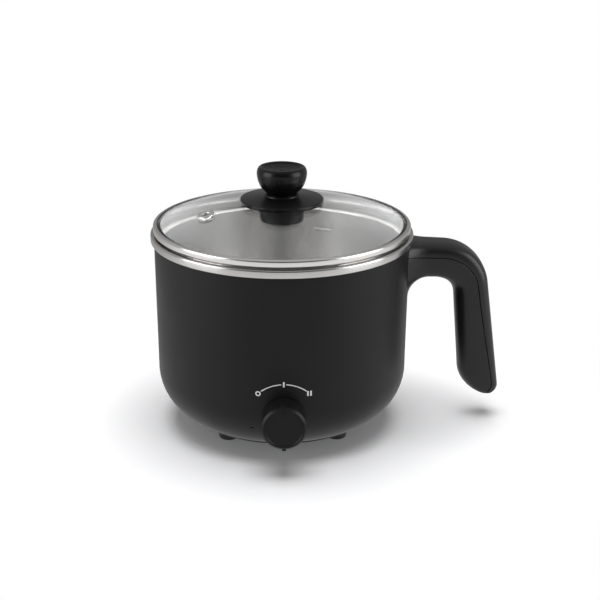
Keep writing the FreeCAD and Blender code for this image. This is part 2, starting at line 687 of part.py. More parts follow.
def inlet_boss_outline(sketch):
    """Outline of the boss behind the power inlet."""
    margin = "(inlet_wall + inlet_flange + inlet_boss_edge)"
    half_width = f"(inlet_width / 2 + {margin})"
    half_rise = f"(inlet_rise / 2 + {margin})"
    rectangle(sketch, f"-{half_width}", half_width, f"({INLET_AXIS} - {half_rise})",
              f"({INLET_AXIS} + {half_rise})")


def rear_cuts(body):
    """Recess for the inlet's flange and the opening for its housing."""
    for name, start, length, margin in (
            ("InletRecess", INLET_SEAT, "overrun", "(inlet_wall + inlet_flange + inlet_fit)"),
            ("InletOpening", f"({INLET_SEAT} - overrun)", "(2 * overrun)", "(inlet_wall + inlet_fit)")):
        sketch = new_sketch(body, name, "XZ_Plane", f"-{start}")
        half_width = f"(inlet_width / 2 + {margin})"
        half_rise = f"(inlet_rise / 2 + {margin})"
        rectangle(sketch, f"-{half_width}", half_width, f"({INLET_AXIS} - {half_rise})",
                  f"({INLET_AXIS} + {half_rise})")
        pocket(body, sketch, length)


def handle_holes(body):
    """Clearance holes for the two screws of the handle."""
    sketch = new_sketch(body, "HandleHoles", "YZ_Plane")
    for height in (COVER_SCREW, GRIP_SCREW):
        circle(sketch, "(screw_radius + screw_fit)", "0", height)
    pocket(body, sketch, "(shell_radius + overrun)", along_normal=True)


# ---------------------------------------------------------------- pot and its rim

def inner_pot():
    """Pressed steel pot: flat floor, straight wall, a ledge for the lid and a rolled rim."""
    body = new_body("inner_pot")
    rim_inside = f"({RIM_RADIUS} - pot_sheet)"
    curl = f"({RIM_RADIUS} - rim_curl)"
    mouth_outside = f"({POT_MOUTH} + pot_sheet)"
    wall_outside = f"({POT_RADIUS} + pot_sheet)"
    ledge_foot = f"({LEDGE} - ledge_slope)"
    turned(body, [
        Corner("0", PLATE_TOP),
        Corner(wall_outside, PLATE_TOP, "(pot_corner + pot_sheet)"),
        Corner(wall_outside, f"({ledge_foot} - pot_sheet)", "(ledge_shoulder - pot_sheet)"),
        Corner(mouth_outside, f"({LEDGE} - pot_sheet)", "(ledge_bend + pot_sheet)"),
        Corner(mouth_outside, f"({RIM_TOP} - pot_sheet)", "(rim_round - pot_sheet)"),
        Corner(rim_inside, f"({RIM_TOP} - pot_sheet)", "(rim_round - pot_sheet)"),
        Corner(rim_inside, f"({RIM_FOOT} + curl_height)", "(curl_round - pot_sheet)"),
        Corner(f"({curl} - pot_sheet)", RIM_FOOT),
        Corner(curl, RIM_FOOT),
        Corner(RIM_RADIUS, f"({RIM_FOOT} + curl_height)", "curl_round"),
        Corner(RIM_RADIUS, RIM_TOP, "rim_round"),
        Corner(POT_MOUTH, RIM_TOP, "rim_round"),
        Corner(POT_MOUTH, LEDGE, "ledge_bend"),
        Corner(POT_RADIUS, ledge_foot, "ledge_shoulder"),
        Corner(POT_RADIUS, POT_FLOOR, "pot_corner"),
        Corner("0", POT_FLOOR),
    ])


def rim_gasket():
    """Silicone ring on the shell's top edge, its upper side shaped to the hollow of the rim."""
    body = new_body("rim_gasket")
    inside = f"({MOUTH_OUTSIDE} - shell_wall + gasket_inset)"
    hollow = "(rim_round - pot_sheet)"
    centre = f"({RIM_TOP} - rim_round - gasket_fit)"
    turned(body, [
        Corner(inside, SHELL_TOP),
        Corner(MOUTH_OUTSIDE, SHELL_TOP),
        Corner(MOUTH_OUTSIDE, f"({centre} + sqrt({hollow}^2 - (rim_round - rim_overhang)^2))"),
        Corner(f"({RIM_RADIUS} - rim_round)", f"({centre} + {hollow})"),
        Corner(f"({POT_MOUTH} + rim_round)", f"({centre} + {hollow})"),
        Corner(inside, f"({centre} + sqrt({hollow}^2 - ({POT_MOUTH} + rim_round - {inside})^2))"),
    ])


# ---------------------------------------------------------------- base

def base_cover():
    """Cover with a centring ring, screw wells, foot holes and air slots."""
    body = new_body("base_cover")
    ring_outside = "(base_opening - base_fit)"
    ring_inside = f"({ring_outside} - base_ring)"
    turned(body, [
        Corner("0", "foot_height"),
        Corner("base_radius", "foot_height", "base_round"),
        Corner("base_radius", BASE_TOP),
        Corner(ring_outside, BASE_TOP),
        Corner(ring_outside, f"({BASE_TOP} + base_ring_height)"),
        Corner(ring_inside, f"({BASE_TOP} + base_ring_height)"),
        Corner(ring_inside, BASE_TOP),
        Corner("0", BASE_TOP),
    ])
    well = new_sketch(body, "Well", "XY_Plane", BASE_TOP)
    circle(well, "(screw_head + screw_fit + well_wall)", "post_circle")
    wells = pad(body, well, "well_height")
    around(body, [wells], "post_count")
    bore = new_sketch(body, "WellBore", "XY_Plane", f"({WELL_TOP} - well_wall)")
    circle(bore, "(screw_head + screw_fit)", "post_circle")
    bores = pocket(body, bore, "overrun")
    around(body, [bores], "post_count")
    hole = new_sketch(body, "WellHole", "XY_Plane", WELL_TOP)
    circle(hole, "(screw_radius + screw_fit)", "post_circle")
    holes = pocket(body, hole, "overrun")
    around(body, [holes], "post_count")
    stem = new_sketch(body, "StemHole", "XY_Plane", BASE_TOP)
    circle(stem, "foot_stem", "(foot_circle * cos(foot_angle))", "(foot_circle * sin(foot_angle))")
    stems = pocket(body, stem, "overrun")
    around(body, [stems], "4")
    slot = new_sketch(body, "AirSlot", "XY_Plane", BASE_TOP)
    rectangle(slot, "(slot_circle - slot_length / 2)", "(slot_circle + slot_length / 2)",
              "(-slot_width / 2)", "(slot_width / 2)", "slot_round")
    slots = pocket(body, slot, "overrun")
    around(body, [slots], "slot_count")


def foot(label, quarter):
    """Rubber foot with a stem that is pushed through the base cover and a bead that holds it."""
    body = new_body(label)
    turned(body, [
        Corner("0", "0"),
        Corner("foot_radius", "0", "foot_round"),
        Corner("(foot_radius + foot_flare)", "foot_height"),
        Corner("foot_stem", "foot_height"),
        Corner("foot_stem", BASE_TOP),
        Corner("(foot_stem + foot_bead)", f"({BASE_TOP} + foot_bead_rise)"),
        Corner("(foot_stem - foot_bead)", f"({BASE_TOP} + foot_stem_end)"),
        Corner("0", f"({BASE_TOP} + foot_stem_end)"),
    ])
    bearing = f"(foot_angle + {90 * quarter})"
    put(body, f"(foot_circle * cos({bearing}))", f"(foot_circle * sin({bearing}))")


def feet():
    """Four feet, one in each quarter."""
    for quarter, place in enumerate(("rear_right", "rear_left", "front_left", "front_right")):
        foot(f"foot_{place}", quarter)


def tie_posts():
    """Posts from the heating plate down to the screw wells, tapped from below."""
    body = new_body("tie_posts")
    body.AllowCompound = True
    post = new_sketch(body, "Post", "XY_Plane", WELL_TOP)
    circle(post, "post_radius", "post_circle")
    circle(post, "screw_radius", "post_circle")
    posts = pad(body, post, "(screw_grip + screw_room)")
    top = new_sketch(body, "PostTop", "XY_Plane", f"({WELL_TOP} + screw_grip + screw_room)")
    circle(top, "post_radius", "post_circle")
    tops = pad(body, top, f"({PLATE_FOOT} - {WELL_TOP} - screw_grip - screw_room)")
    around(body, [posts, tops], "post_count")


def base_screws():
    """Screws from the wells of the base cover into the posts."""
    body = new_body("base_screws")
    body.AllowCompound = True
    head = new_sketch(body, "Head", "XY_Plane", f"({WELL_TOP} - well_wall)")
    circle(head, "screw_head", "post_circle")
    heads = pad(body, head, "screw_head_height", backwards=True)
    shank = new_sketch(body, "Shank", "XY_Plane", f"({WELL_TOP} - well_wall)")
    circle(shank, "screw_radius", "post_circle")
    shanks = pad(body, shank, "(well_wall + screw_grip)")
    around(body, [heads, shanks], "post_count")


# ---------------------------------------------------------------- heater

def heating_plate():
    """Cast plate under the pot with a groove for the heating tube."""
    body = new_body("heating_plate")
    groove = "(tube_radius + tube_fit)"
    half = f"sqrt({groove}^2 - ({groove} - tube_sink)^2)"
    turned(body, [
        Corner("0", PLATE_FOOT),
        Corner(f"(tube_circle - {half})", PLATE_FOOT, "", groove, -1),
        Corner(f"(tube_circle + {half})", PLATE_FOOT),
        Corner("plate_radius", PLATE_FOOT, "plate_round"),
        Corner("plate_radius", PLATE_TOP),
        Corner("0", PLATE_TOP),
    ])


def heating_tube():
    """Tubular element: a ring left open at the back, half sunk in the heating plate."""
    body = new_body("heating_tube")
    body.Placement = Placement(Vector(), Rotation(Vector(0, 0, 1), value("270 - tube_sweep / 2")))
    sketch = new_sketch(body, "Tube", "XZ_Plane")
    circle(sketch, "tube_radius", "tube_circle", TUBE_AXIS)
    step = feature(body, "Revolution", sketch)
    step.ReferenceAxis = (sketch, ["V_Axis"])
    bind(step, "Angle", "tube_sweep")


def heater_terminals():
    """Terminal pins with ceramic bushes under the two ends of the heating tube."""
    pins = []
    for side in (-1, 1):
        pin = new_body("heater_pin", exported=False)
        turned(pin, [
            Corner("0", "0"),
            Corner("cold_bush_radius", "0"),
            Corner("cold_bush_radius", "-cold_bush_length"),
            Corner("cold_pin_radius", "-cold_bush_length"),
            Corner("cold_pin_radius", "-cold_pin_length"),
            Corner("0", "-cold_pin_length"),
        ])
        bearing = f"(90 + {side} * (180 - tube_sweep / 2 + terminal_inset))"
        put(pin, f"(tube_circle * cos({bearing}))", f"(tube_circle * sin({bearing}))",
            f"({TUBE_AXIS} - tube_radius - terminal_fit)")
        pins.append(pin)
    group("heater_terminals", pins)


def thermostat():
    """Metal cap against the plate, ceramic body below it and the strap that holds both."""
    cap = new_body("thermostat_cap")
    cap_foot = f"({PLATE_FOOT} - stat_cap)"
    body_foot = f"({cap_foot} - stat_body)"
    turned(cap, [
        Corner("0", cap_foot),
        Corner("stat_radius", cap_foot),
        Corner("stat_radius", PLATE_FOOT, "stat_round"),
        Corner("0", PLATE_FOOT),
    ])
    ceramic = new_body("thermostat_body")
    turned(ceramic, [
        Corner("0", body_foot),
        Corner("(stat_radius - stat_step)", body_foot, "stat_foot_round"),
        Corner("(stat_radius - stat_step)", cap_foot),
        Corner("0", cap_foot),
    ])
    thermostat_bracket(body_foot)


def thermostat_bracket(low):
    """Strap that passes under the thermostat and rises to the plate on both sides."""
    strap = new_body("thermostat_bracket")
    sketch = new_sketch(strap, "Strap", "XZ_Plane")
    inner = "(stat_radius + bracket_play)"
    outer = f"({inner} + bracket_sheet)"
    end = "(bracket_length / 2)"
    foot_low = f"({PLATE_FOOT} - bracket_sheet)"
    outline(sketch, [
        Corner(f"-{outer}", f"({low} - bracket_sheet)"),
        Corner(outer, f"({low} - bracket_sheet)"),
        Corner(outer, foot_low),
        Corner(end, foot_low),
        Corner(end, PLATE_FOOT),
        Corner(inner, PLATE_FOOT),
        Corner(inner, low),
        Corner(f"-{inner}", low),
        Corner(f"-{inner}", PLATE_FOOT),
        Corner(f"-{end}", PLATE_FOOT),
        Corner(f"-{end}", foot_low),
        Corner(f"-{outer}", foot_low),
    ])
    pad(strap, sketch, "bracket_width", both_ways=True)
    screws = []
    for side in ("", "-"):
        screw = new_body("strap_screw", exported=False)
        turned(screw, [
            Corner("0", "0"),
            Corner("strap_screw_head", "0"),
            Corner("strap_screw_head", "-strap_screw_rise", "strap_screw_round"),
            Corner("0", "-strap_screw_rise"),
        ])
        middle = f"{side}(({end} + {outer}) / 2)"
        put(screw, middle, "0", foot_low)
        screws.append(screw)
    group("bracket_screws", screws)


def thermal_fuse():
    """One-shot fuse that lies against the plate behind the thermostat."""
    fuse = new_body("thermal_fuse")
    sketch = new_sketch(fuse, "Round", "YZ_Plane")
    circle(sketch, "fuse_radius", "fuse_place", f"({PLATE_FOOT} - fuse_radius)")
    pad(fuse, sketch, "fuse_length", both_ways=True)
    clip = new_body("fuse_clip")
    saddle = new_sketch(clip, "Saddle", "YZ_Plane")
    near = "(fuse_radius + fuse_fit)"
    far = f"({near} + clip_sheet)"
    drop = f"({PLATE_FOOT} - 2 * fuse_radius - fuse_fit)"
    flat = f"({PLATE_FOOT} - clip_sheet)"
    outline(saddle, [
        Corner(f"(fuse_place - {far} - clip_foot)", flat),
        Corner(f"(fuse_place - {far})", flat),
        Corner(f"(fuse_place - {far})", f"({drop} - clip_sheet)", "(fuse_radius + clip_sheet)"),
        Corner(f"(fuse_place + {far})", f"({drop} - clip_sheet)"),
        Corner(f"(fuse_place + {far})", PLATE_FOOT),
        Corner(f"(fuse_place + {near})", PLATE_FOOT),
        Corner(f"(fuse_place + {near})", drop),
        Corner(f"(fuse_place - {near})", drop, "fuse_radius"),
        Corner(f"(fuse_place - {near})", PLATE_FOOT),
        Corner(f"(fuse_place - {far} - clip_foot)", PLATE_FOOT),
    ])
    pad(clip, saddle, "clip_width", both_ways=True)


# ---------------------------------------------------------------- control

def rotary_switch():
    """Switch housing behind the shell, its bushing through the shell and its tags."""
    body = new_body("rotary_switch")
    half = "(switch_width / 2)"
    case = new_sketch(body, "Case", "XY_Plane")
    rectangle(case, f"-{half}", half, f"-{half}", half, "switch_round")
    pad(body, case, "switch_depth", backwards=True)
    bushing = new_sketch(body, "Bushing", "XY_Plane")
    circle(bushing, "bushing_radius")
    front = "(seat_thickness + nut_height + bushing_end)"
    pad(body, bushing, front)
    bore = new_sketch(body, "Bore", "XY_Plane", front)
    circle(bore, "(shaft_radius + shaft_fit)")
    pocket(body, bore, f"({front} + shaft_tail + shaft_end_play)")
    face_front(body, SWITCH_SEAT, CONTROL_AXIS)


def switch_tags():
    """Three flat tags at the back of the switch."""
    body = new_body("switch_tags")
    body.AllowCompound = True
    sketch = new_sketch(body, "Tags", "XY_Plane", "-switch_depth")
    for place in (-1, 0, 1):
        rectangle(sketch, f"({place} * tag_pitch - tag_sheet / 2)", f"({place} * tag_pitch + tag_sheet / 2)",
                  "(-tag_width / 2)", "(tag_width / 2)")
    pad(body, sketch, "tag_length", backwards=True)
    face_front(body, SWITCH_SEAT, CONTROL_AXIS)


def switch_nut():
    """Hexagon nut that clamps the switch to the shell."""
    body = new_body("switch_nut")
    sketch = new_sketch(body, "Hexagon", "XY_Plane")
    outline(sketch, [Corner(f"(nut_size / sqrt(3) * cos({60 * turn + 30}))",
                            f"(nut_size / sqrt(3) * sin({60 * turn + 30}))") for turn in range(6)])
    circle(sketch, "(bushing_radius + nut_fit)")
    pad(body, sketch, "nut_height")
    face_front(body, NUT_SEAT, CONTROL_AXIS)


def switch_shaft():
    """Steel shaft with a flat along the part that the knob grips."""
    body = new_body("switch_shaft")
    tail = f"({KNOB_BACK} - {SWITCH_SEAT} + shaft_tail)"
    reach = "(knob_hollow + knob_bore_depth - shaft_end_play)"
    rod = new_sketch(body, "Rod", "XY_Plane", f"-{tail}")
    circle(rod, "shaft_radius")
    pad(body, rod, f"({tail} + {reach})")
    flat = new_sketch(body, "Flat", "XY_Plane", reach)
    rectangle(flat, "-overrun", "overrun", "shaft_flat", "overrun")
    pocket(body, flat, "(knob_bore_depth + shaft_end_play)")
    face_front(body, KNOB_BACK, CONTROL_AXIS)


def control_knob():
    """Round knob with a bevelled lip, a sunk face, an index rib and a D-shaped bore."""
    body = new_body("control_knob")
    shoulder = "(knob_length - knob_bevel)"
    lip_outside = "(knob_radius - knob_bevel)"
    lip_inside = f"({lip_outside} - knob_lip)"
    face = "(knob_length - knob_sink)"
    turned(body, [
        Corner(NUT_ROOM, "0"),
        Corner("(knob_radius - knob_taper)", "0"),
        Corner("knob_radius", shoulder),
        Corner(lip_outside, "knob_length"),
        Corner(lip_inside, "knob_length"),
        Corner(f"({lip_inside} - knob_sink)", face),
        Corner("0", face),
        Corner("0", "knob_hollow"),
        Corner(NUT_ROOM, "knob_hollow"),
    ])
    rib = new_sketch(body, "Rib", "XY_Plane", "rib_start")
    rectangle(rib, "(-rib_width / 2)", "(rib_width / 2)", "(-knob_radius - rib_rise)",
              "(-knob_radius + rib_root)")
    pad(body, rib, f"({shoulder} - rib_start)")
    notch = new_sketch(body, "Notch", "XY_Plane", "knob_length")
    rectangle(notch, "(-notch_width / 2)", "(notch_width / 2)", f"({lip_inside} - notch_length)",
              "overrun")
    pocket(body, notch, "notch_depth")
    bore = new_sketch(body, "Bore", "XY_Plane")
    circle(bore, "(shaft_radius + shaft_fit)")
    pocket(body, bore, "(knob_hollow + knob_bore_depth)", along_normal=True)
    land = new_sketch(body, "Land", "XY_Plane", "knob_hollow")
    rectangle(land, "-shaft_radius", "shaft_radius", "(shaft_flat + shaft_fit)", "(shaft_radius + rib_root)")
    pad(body, land, "knob_bore_depth")
    face_front(body, KNOB_BACK, CONTROL_AXIS)


# ---------------------------------------------------------------- indicator and inlet

def indicator():
    """Light pipe in the shell's small hole and the neon lamp behind it."""
    shell_face = f"sqrt({belly_radius(LAMP_AXIS)}^2 - lamp_offset^2)"
    pipe = new_body("indicator_lens")
    turned(pipe, [
        Corner("0", "-pipe_flange_sheet"),
        Corner("pipe_flange", "-pipe_flange_sheet"),
        Corner("pipe_flange", "0"),
        Corner("pipe_radius", "0"),
        Corner("pipe_radius", f"({shell_face} - {LAMP_SEAT} - pipe_sink)"),
        Corner("0", f"({shell_face} - {LAMP_SEAT} - pipe_sink)"),
    ])
    face_front(pipe, LAMP_SEAT, LAMP_AXIS, "-lamp_offset")
    lamp = new_body("indicator_lamp")
    turned(lamp, [
        Corner("0", "-lamp_length"),
        Corner("lamp_radius", "-lamp_length"),
        Corner("lamp_radius", "0", "lamp_round"),
        Corner("0", "0"),
    ])
    face_front(lamp, f"({LAMP_SEAT} - pipe_flange_sheet)", LAMP_AXIS, "-lamp_offset")


def inlet_housing():
    """Power inlet: flange, housing and an open cavity with two cut corners."""
    body = new_body("inlet_housing")
    for name, margin, length, backwards in (
            ("Flange", "(inlet_wall + inlet_flange)", "inlet_flange_sheet", False),
            ("Case", "inlet_wall", "(inlet_depth + inlet_floor - inlet_flange_sheet)", True)):
        sketch = new_sketch(body, name, "XY_Plane")
        half_width = f"(inlet_width / 2 + {margin})"
        half_rise = f"(inlet_rise / 2 + {margin})"
        rectangle(sketch, f"-{half_width}", half_width, f"-{half_rise}", half_rise, "inlet_round")
        pad(body, sketch, length, backwards=backwards)
    cavity = new_sketch(body, "Cavity", "XY_Plane", "inlet_flange_sheet")
    half_width = "(inlet_width / 2)"
    half_rise = "(inlet_rise / 2)"
    outline(cavity, [
        Corner(f"-{half_width}", f"-{half_rise}"),
        Corner(half_width, f"-{half_rise}"),
        Corner(half_width, f"({half_rise} - inlet_corner)"),
        Corner(f"({half_width} - inlet_corner)", half_rise),
        Corner(f"(inlet_corner - {half_width})", half_rise),
        Corner(f"-{half_width}", f"({half_rise} - inlet_corner)"),
    ])
    pocket(body, cavity, "inlet_depth")
    slots = new_sketch(body, "BladeSlots", "XY_Plane")
    blades(slots, "pin_fit")
    pocket(body, slots, "(inlet_depth + inlet_floor)")
    face_back(body, INLET_SEAT, INLET_AXIS)


def blades(sketch, margin):
    """Outlines of the three blades, the earth blade above the other two."""
    for place, lift in ((-1, 0), (0, 1), (1, 0)):
        middle_x = f"{place} * pin_pitch"
        middle_y = f"({lift} - 0.5) * pin_stagger"
        rectangle(sketch, f"({middle_x} - pin_width / 2 - {margin})",
                  f"({middle_x} + pin_width / 2 + {margin})",
                  f"({middle_y} - pin_rise / 2 - {margin})",
                  f"({middle_y} + pin_rise / 2 + {margin})")


def inlet_pins():
    """Three blades through the floor of the inlet's cavity."""
    body = new_body("inlet_pins")
    body.AllowCompound = True
    floor = "(inlet_depth - inlet_flange_sheet)"
    sketch = new_sketch(body, "Blades", "XY_Plane", f"(pin_reach - {floor})")
    blades(sketch, "0")
    pad(body, sketch, "(pin_reach + inlet_floor + pin_tail)", backwards=True)
    face_back(body, INLET_SEAT, INLET_AXIS)


# ---------------------------------------------------------------- handle

def handle_form():
    """The whole handle: an arm, a rounded corner and a hanging grip, all edges rounded."""
    body = new_body("handle_form", exported=False)
    inside = "(shell_radius - overrun)"
    root_x = f"({HANDLE_FACE} + root_edge)"
    sketch = new_sketch(body, "Side", "XZ_Plane")
    outline(sketch, [
        Corner(inside, ARM_TOP),
        Corner(inside, f"({ARM_TOP} - root_depth)"),
        Corner(root_x, f"({ARM_TOP} - root_depth)"),
        Corner(root_x, ARM_FOOT, "root_round"),
        Corner(GRIP_INSIDE, ARM_FOOT, "finger_round"),
        Corner(f"({GRIP_INSIDE} + finger_splay)", TIP, "tip_inner_round"),
        Corner(f"({ARM_REACH} + {GRIP_SPLAY})", TIP, "tip_round"),
        Corner(ARM_REACH, ARM_CORNER, "arm_round"),
        Corner(f"({MOUTH_OUTSIDE} + arm_level)", ARM_TOP, "arm_crown"),
    ])
    block = pad(body, sketch, "handle_width", both_ways=True)
    doc.recompute()
    half = value("handle_width / 2")
    edges = []
    for number, edge in enumerate(block.Shape.Edges, start=1):
        in_side_face = abs(abs(edge.CenterOfMass.y) - half) < TOUCH
        clear_of_end = edge.BoundBox.XMax > value(inside) + TOUCH
        if in_side_face and clear_of_end:
            edges.append(f"Edge{number}")
    fillet = body.newObject("PartDesign::Fillet", "Fillet")
    fillet.Base = (block, edges)
    bind(fillet, "Radius", "handle_round")
    return body


def shell_cutter():
    """The shell's outer form and the play round it, which the handle's root is cut to."""
    body = new_body("shell_cutter", exported=False)
    turned(body, [
        Corner("0", BELLY_FLOOR),
        Corner("(shell_radius + handle_fit)", BELLY_FLOOR),
        Corner(HANDLE_FACE, SHELL_TOP),
        Corner("0", SHELL_TOP),
    ])
    return body


def seam_zone(label, depth, width, low_stop=""):
    """The space outside the joint line, that far under the handle's outer face."""
    body = new_body(label, exported=False)
    slant = f"sqrt(1 + {GRIP_LEAN}^2)"
    bottom = low_stop or f"({TIP} - overrun)"
    far = f"({ARM_REACH} + {GRIP_SPLAY} + overrun)"
    sketch = new_sketch(body, "Seam", "XZ_Plane")
    outline(sketch, [
        Corner("(shell_radius - overrun)", f"({ARM_TOP} - {depth})"),
        Corner(f"({MOUTH_OUTSIDE} + arm_level)", f"({ARM_TOP} - {depth})", "arm_crown"),
        Corner(f"({ARM_REACH} - {depth} * ({slant} - {GRIP_LEAN}))", f"({ARM_CORNER} - {depth})",
               f"(arm_round - {depth})"),
        Corner(f"({ARM_REACH} + ({ARM_CORNER} - {bottom}) * {GRIP_LEAN} - {depth} * {slant})", bottom),
        Corner(far, bottom),
        Corner(far, f"({ARM_TOP} + overrun)"),
        Corner("(shell_radius - overrun)", f"({ARM_TOP} + overrun)"),
    ])
    pad(body, sketch, width, both_ways=True)
    return body


def handle():
    """Inner and outer mouldings, parted along the joint line, with a tongue between them."""
    trimmed = boolean("handle_trimmed", "Cut", handle_form(), shell_cutter(), exported=False)
    wide = "(handle_width + overrun)"
    tongue_depth = "(cover_thickness + tongue_height)"
    tongue_stop = f"({TIP} + tip_round)"
    outer = seam_zone("cover_zone", "cover_thickness", wide)
    tongue = seam_zone("tongue_zone", tongue_depth, "tongue_width", tongue_stop)
    cover_space = boolean("cover_space", "Fuse", outer, tongue, exported=False)
    cover_form = boolean("cover_form", "Common", trimmed, cover_space, exported=False)
    pilots = pilot_holes()
    boolean("handle_cover", "Cut", cover_form, pilots)
    outer_gap = seam_zone("cover_gap_zone", "(cover_thickness + seam_gap)", wide)
    tongue_gap = seam_zone("tongue_gap_zone", f"({tongue_depth} + seam_gap)",
                           "(tongue_width + 2 * seam_gap)", f"({tongue_stop} - seam_gap)")
    grip_space = boolean("grip_space", "Fuse", outer_gap, tongue_gap, exported=False)
    grip_form = boolean("grip_form", "Cut", trimmed, grip_space, exported=False)
    boolean("handle_grip", "Cut", grip_form, pilots)


def pilot_holes():
    """Bores in the root of each moulding for its screw."""
    body = new_body("pilot_holes", exported=False)
    body.AllowCompound = True
    sketch = new_sketch(body, "Pilots", "YZ_Plane", f"({MOUTH_OUTSIDE} - overrun)")
    for height in (COVER_SCREW, GRIP_SCREW):
        circle(sketch, "screw_radius", "0", height)
    pad(body, sketch, "(overrun + root_screw_grip + screw_room)")
    return body


def handle_screws():
    """Screws from inside the shell, one into each moulding of the handle."""
    screws = []
    seat = f"({MOUTH_OUTSIDE} - shell_wall - root_head_sink)"
    for height in (COVER_SCREW, GRIP_SCREW):
        screw = new_body("handle_screw", exported=False)
        turned(screw, [
            Corner("0", "-root_head_height"),
            Corner("screw_head", "-root_head_height", "screw_round"),
            Corner("screw_head", "0"),
            Corner("screw_radius", "0"),
            Corner("screw_radius", "(shell_wall + root_screw_grip)", "screw_round"),
            Corner("0", "(shell_wall + root_screw_grip)"),
        ])
        face_right(screw, seat, height)
        screws.append(screw)
    group("handle_screws", screws)


# ---------------------------------------------------------------- lid

def lid_band():
    """Steel band: a skirt inside the pot, a shelf under the glass and a lip over its edge."""
    body = new_body("lid_band")
    skirt_foot = f"({LEDGE} + lid_rest)"
    skirt_inside = f"({SKIRT_RADIUS} - band_sheet)"
    lap = f"({BAND_RADIUS} - band_lap)"
    lap_foot = f"({dome_height(lap)} + lap_fit)"
    turned(body, [
        Corner(skirt_inside, skirt_foot),
        Corner(SKIRT_RADIUS, skirt_foot),
        Corner(SKIRT_RADIUS, LID_SEAT, "band_bend"),
        Corner(BAND_RADIUS, LID_SEAT, "band_foot_round"),
        Corner(BAND_RADIUS, BAND_TOP, "band_round"),
        Corner(lap, f"({lap_foot} + band_sheet)"),
        Corner(lap, lap_foot),
        Corner(f"({BAND_RADIUS} - band_sheet)", f"({BAND_TOP} - band_sheet)", "(band_round - band_sheet)"),
        Corner(f"({BAND_RADIUS} - band_sheet)", GLASS_SEAT),
        Corner(skirt_inside, GLASS_SEAT, "(band_bend + band_sheet)"),
    ])


def vent_place():
    """Place and tilt of the steam hole: square to the glass at its radius and bearing."""
    radius = value("vent_circle")
    bearing = math.radians(value("vent_angle"))
    out = Vector(math.cos(bearing), math.sin(bearing), 0)
    tilt = math.degrees(math.asin(radius / value("dome_radius")))
    turn = Rotation(Vector(0, 0, 1).cross(out), tilt)
    return Placement(out * radius + Vector(0, 0, value(dome_height("vent_circle"))), turn)


def lid_glass():
    """Domed glass with a flat edge, a hole for the knob's screw and the steam hole."""
    body = new_body("lid_glass")
    hole = "(bolt_radius + bolt_fit)"
    inner_edge = f"sqrt((dome_radius - glass_thickness)^2 - ({GLASS_SEAT} - {DOME_CENTRE})^2)"
    turned(body, [
        Corner(hole, dome_height(hole, "glass_thickness"), "", "(dome_radius - glass_thickness)", -1),
        Corner(inner_edge, GLASS_SEAT),
        Corner(GLASS_RADIUS, GLASS_SEAT),
        Corner(GLASS_RADIUS, dome_height(GLASS_RADIUS), "", "dome_radius", 1),
        Corner(hole, dome_height(hole)),
    ])
    sketch = new_sketch(body, "SteamHole", "XY_Plane")
    place = vent_place()
    above = place.Rotation.multVec(Vector(0, 0, value("glass_thickness")))
    sketch.AttachmentOffset = Placement(place.Base + above, place.Rotation)
    circle(sketch, "(vent_radius + vent_wall + vent_fit)")
    pocket(body, sketch, "(3 * glass_thickness)")


def vent_grommet():
    """Steel eyelet rolled over both faces of the glass."""
    body = new_body("vent_grommet")
    outside = "(vent_radius + vent_wall)"
    above = "vent_fit"
    below = "(-glass_thickness - vent_fit)"
    turned(body, [
        Corner("vent_radius", f"({below} - vent_flange_sheet)"),
        Corner("(vent_flange - vent_lower_step)", f"({below} - vent_flange_sheet)"),
        Corner("(vent_flange - vent_lower_step)", below),
        Corner(outside, below),
        Corner(outside, above),
        Corner("vent_flange", above),
        Corner("vent_flange", f"({above} + vent_flange_sheet)", "vent_round"),
        Corner("vent_radius", f"({above} + vent_flange_sheet)", "vent_round"),
    ])
    body.Placement = vent_place()


def lid_washer():
    """Silicone washer between the glass and the knob's disc."""
    body = new_body("lid_washer")
    hole = "(bolt_radius + bolt_fit)"
    turned(body, [
        Corner(hole, dome_height(hole), "", "dome_radius", -1),
        Corner("washer_radius", dome_height("washer_radius")),
        Corner("washer_radius", DISC_SEAT),
        Corner(hole, DISC_SEAT),
    ])


def lid_knob_base():
    """Flared disc that keeps the fingers off the hot glass, with a raised collar."""
    body = new_body("lid_knob_base")
    edge_foot = f"({dome_height('disc_radius')} + disc_gap)"
    rim_inside = "(disc_radius - disc_lip)"
    hole = "(bolt_radius + bolt_fit)"
    turned(body, [
        Corner(hole, DISC_SEAT),
        Corner("(washer_radius + disc_play)", DISC_SEAT),
        Corner(rim_inside, f"({edge_foot} + disc_round)"),
        Corner(rim_inside, edge_foot),
        Corner("(disc_radius - disc_lean)", edge_foot),
        Corner("disc_radius", f"({edge_foot} + disc_edge)", "disc_round"),
        Corner("collar_radius", DISC_TOP),
        Corner("collar_radius", f"({DISC_TOP} + collar_height)", "collar_round"),
        Corner("(neck_radius + neck_play)", f"({DISC_TOP} + collar_height)"),
        Corner("(neck_radius + neck_play)", DISC_TOP),
        Corner(hole, DISC_TOP),
    ])


def lid_knob():
    """Turned knob: neck, flare, rounded bulb and a hollow top; bored for the screw."""
    body = new_body("lid_knob")
    top = f"({DISC_TOP} + bulb_height)"
    turned(body, [
        Corner("bolt_radius", DISC_TOP),
        Corner("neck_radius", DISC_TOP),
        Corner("(neck_radius + neck_flare)", f"({DISC_TOP} + neck_height)", "neck_round"),
        Corner("(bulb_radius - shoulder_step)", f"({DISC_TOP} + bulb_shoulder)", "shoulder_round"),
        Corner("(bulb_radius + bulb_swell)", f"({top} - crown_drop)", "crown_round"),
        Corner("(bulb_radius - top_step)", top, "top_round"),
        Corner("dish_radius", top, "dish_edge"),
        Corner("dish_floor", f"({top} - dish_depth)", "dish_round"),
        Corner("0", f"({top} - dish_depth)"),
        Corner("0", f"({DISC_TOP} + bolt_grip + screw_room)"),
        Corner("bolt_radius", f"({DISC_TOP} + bolt_grip + screw_room)"),
    ])


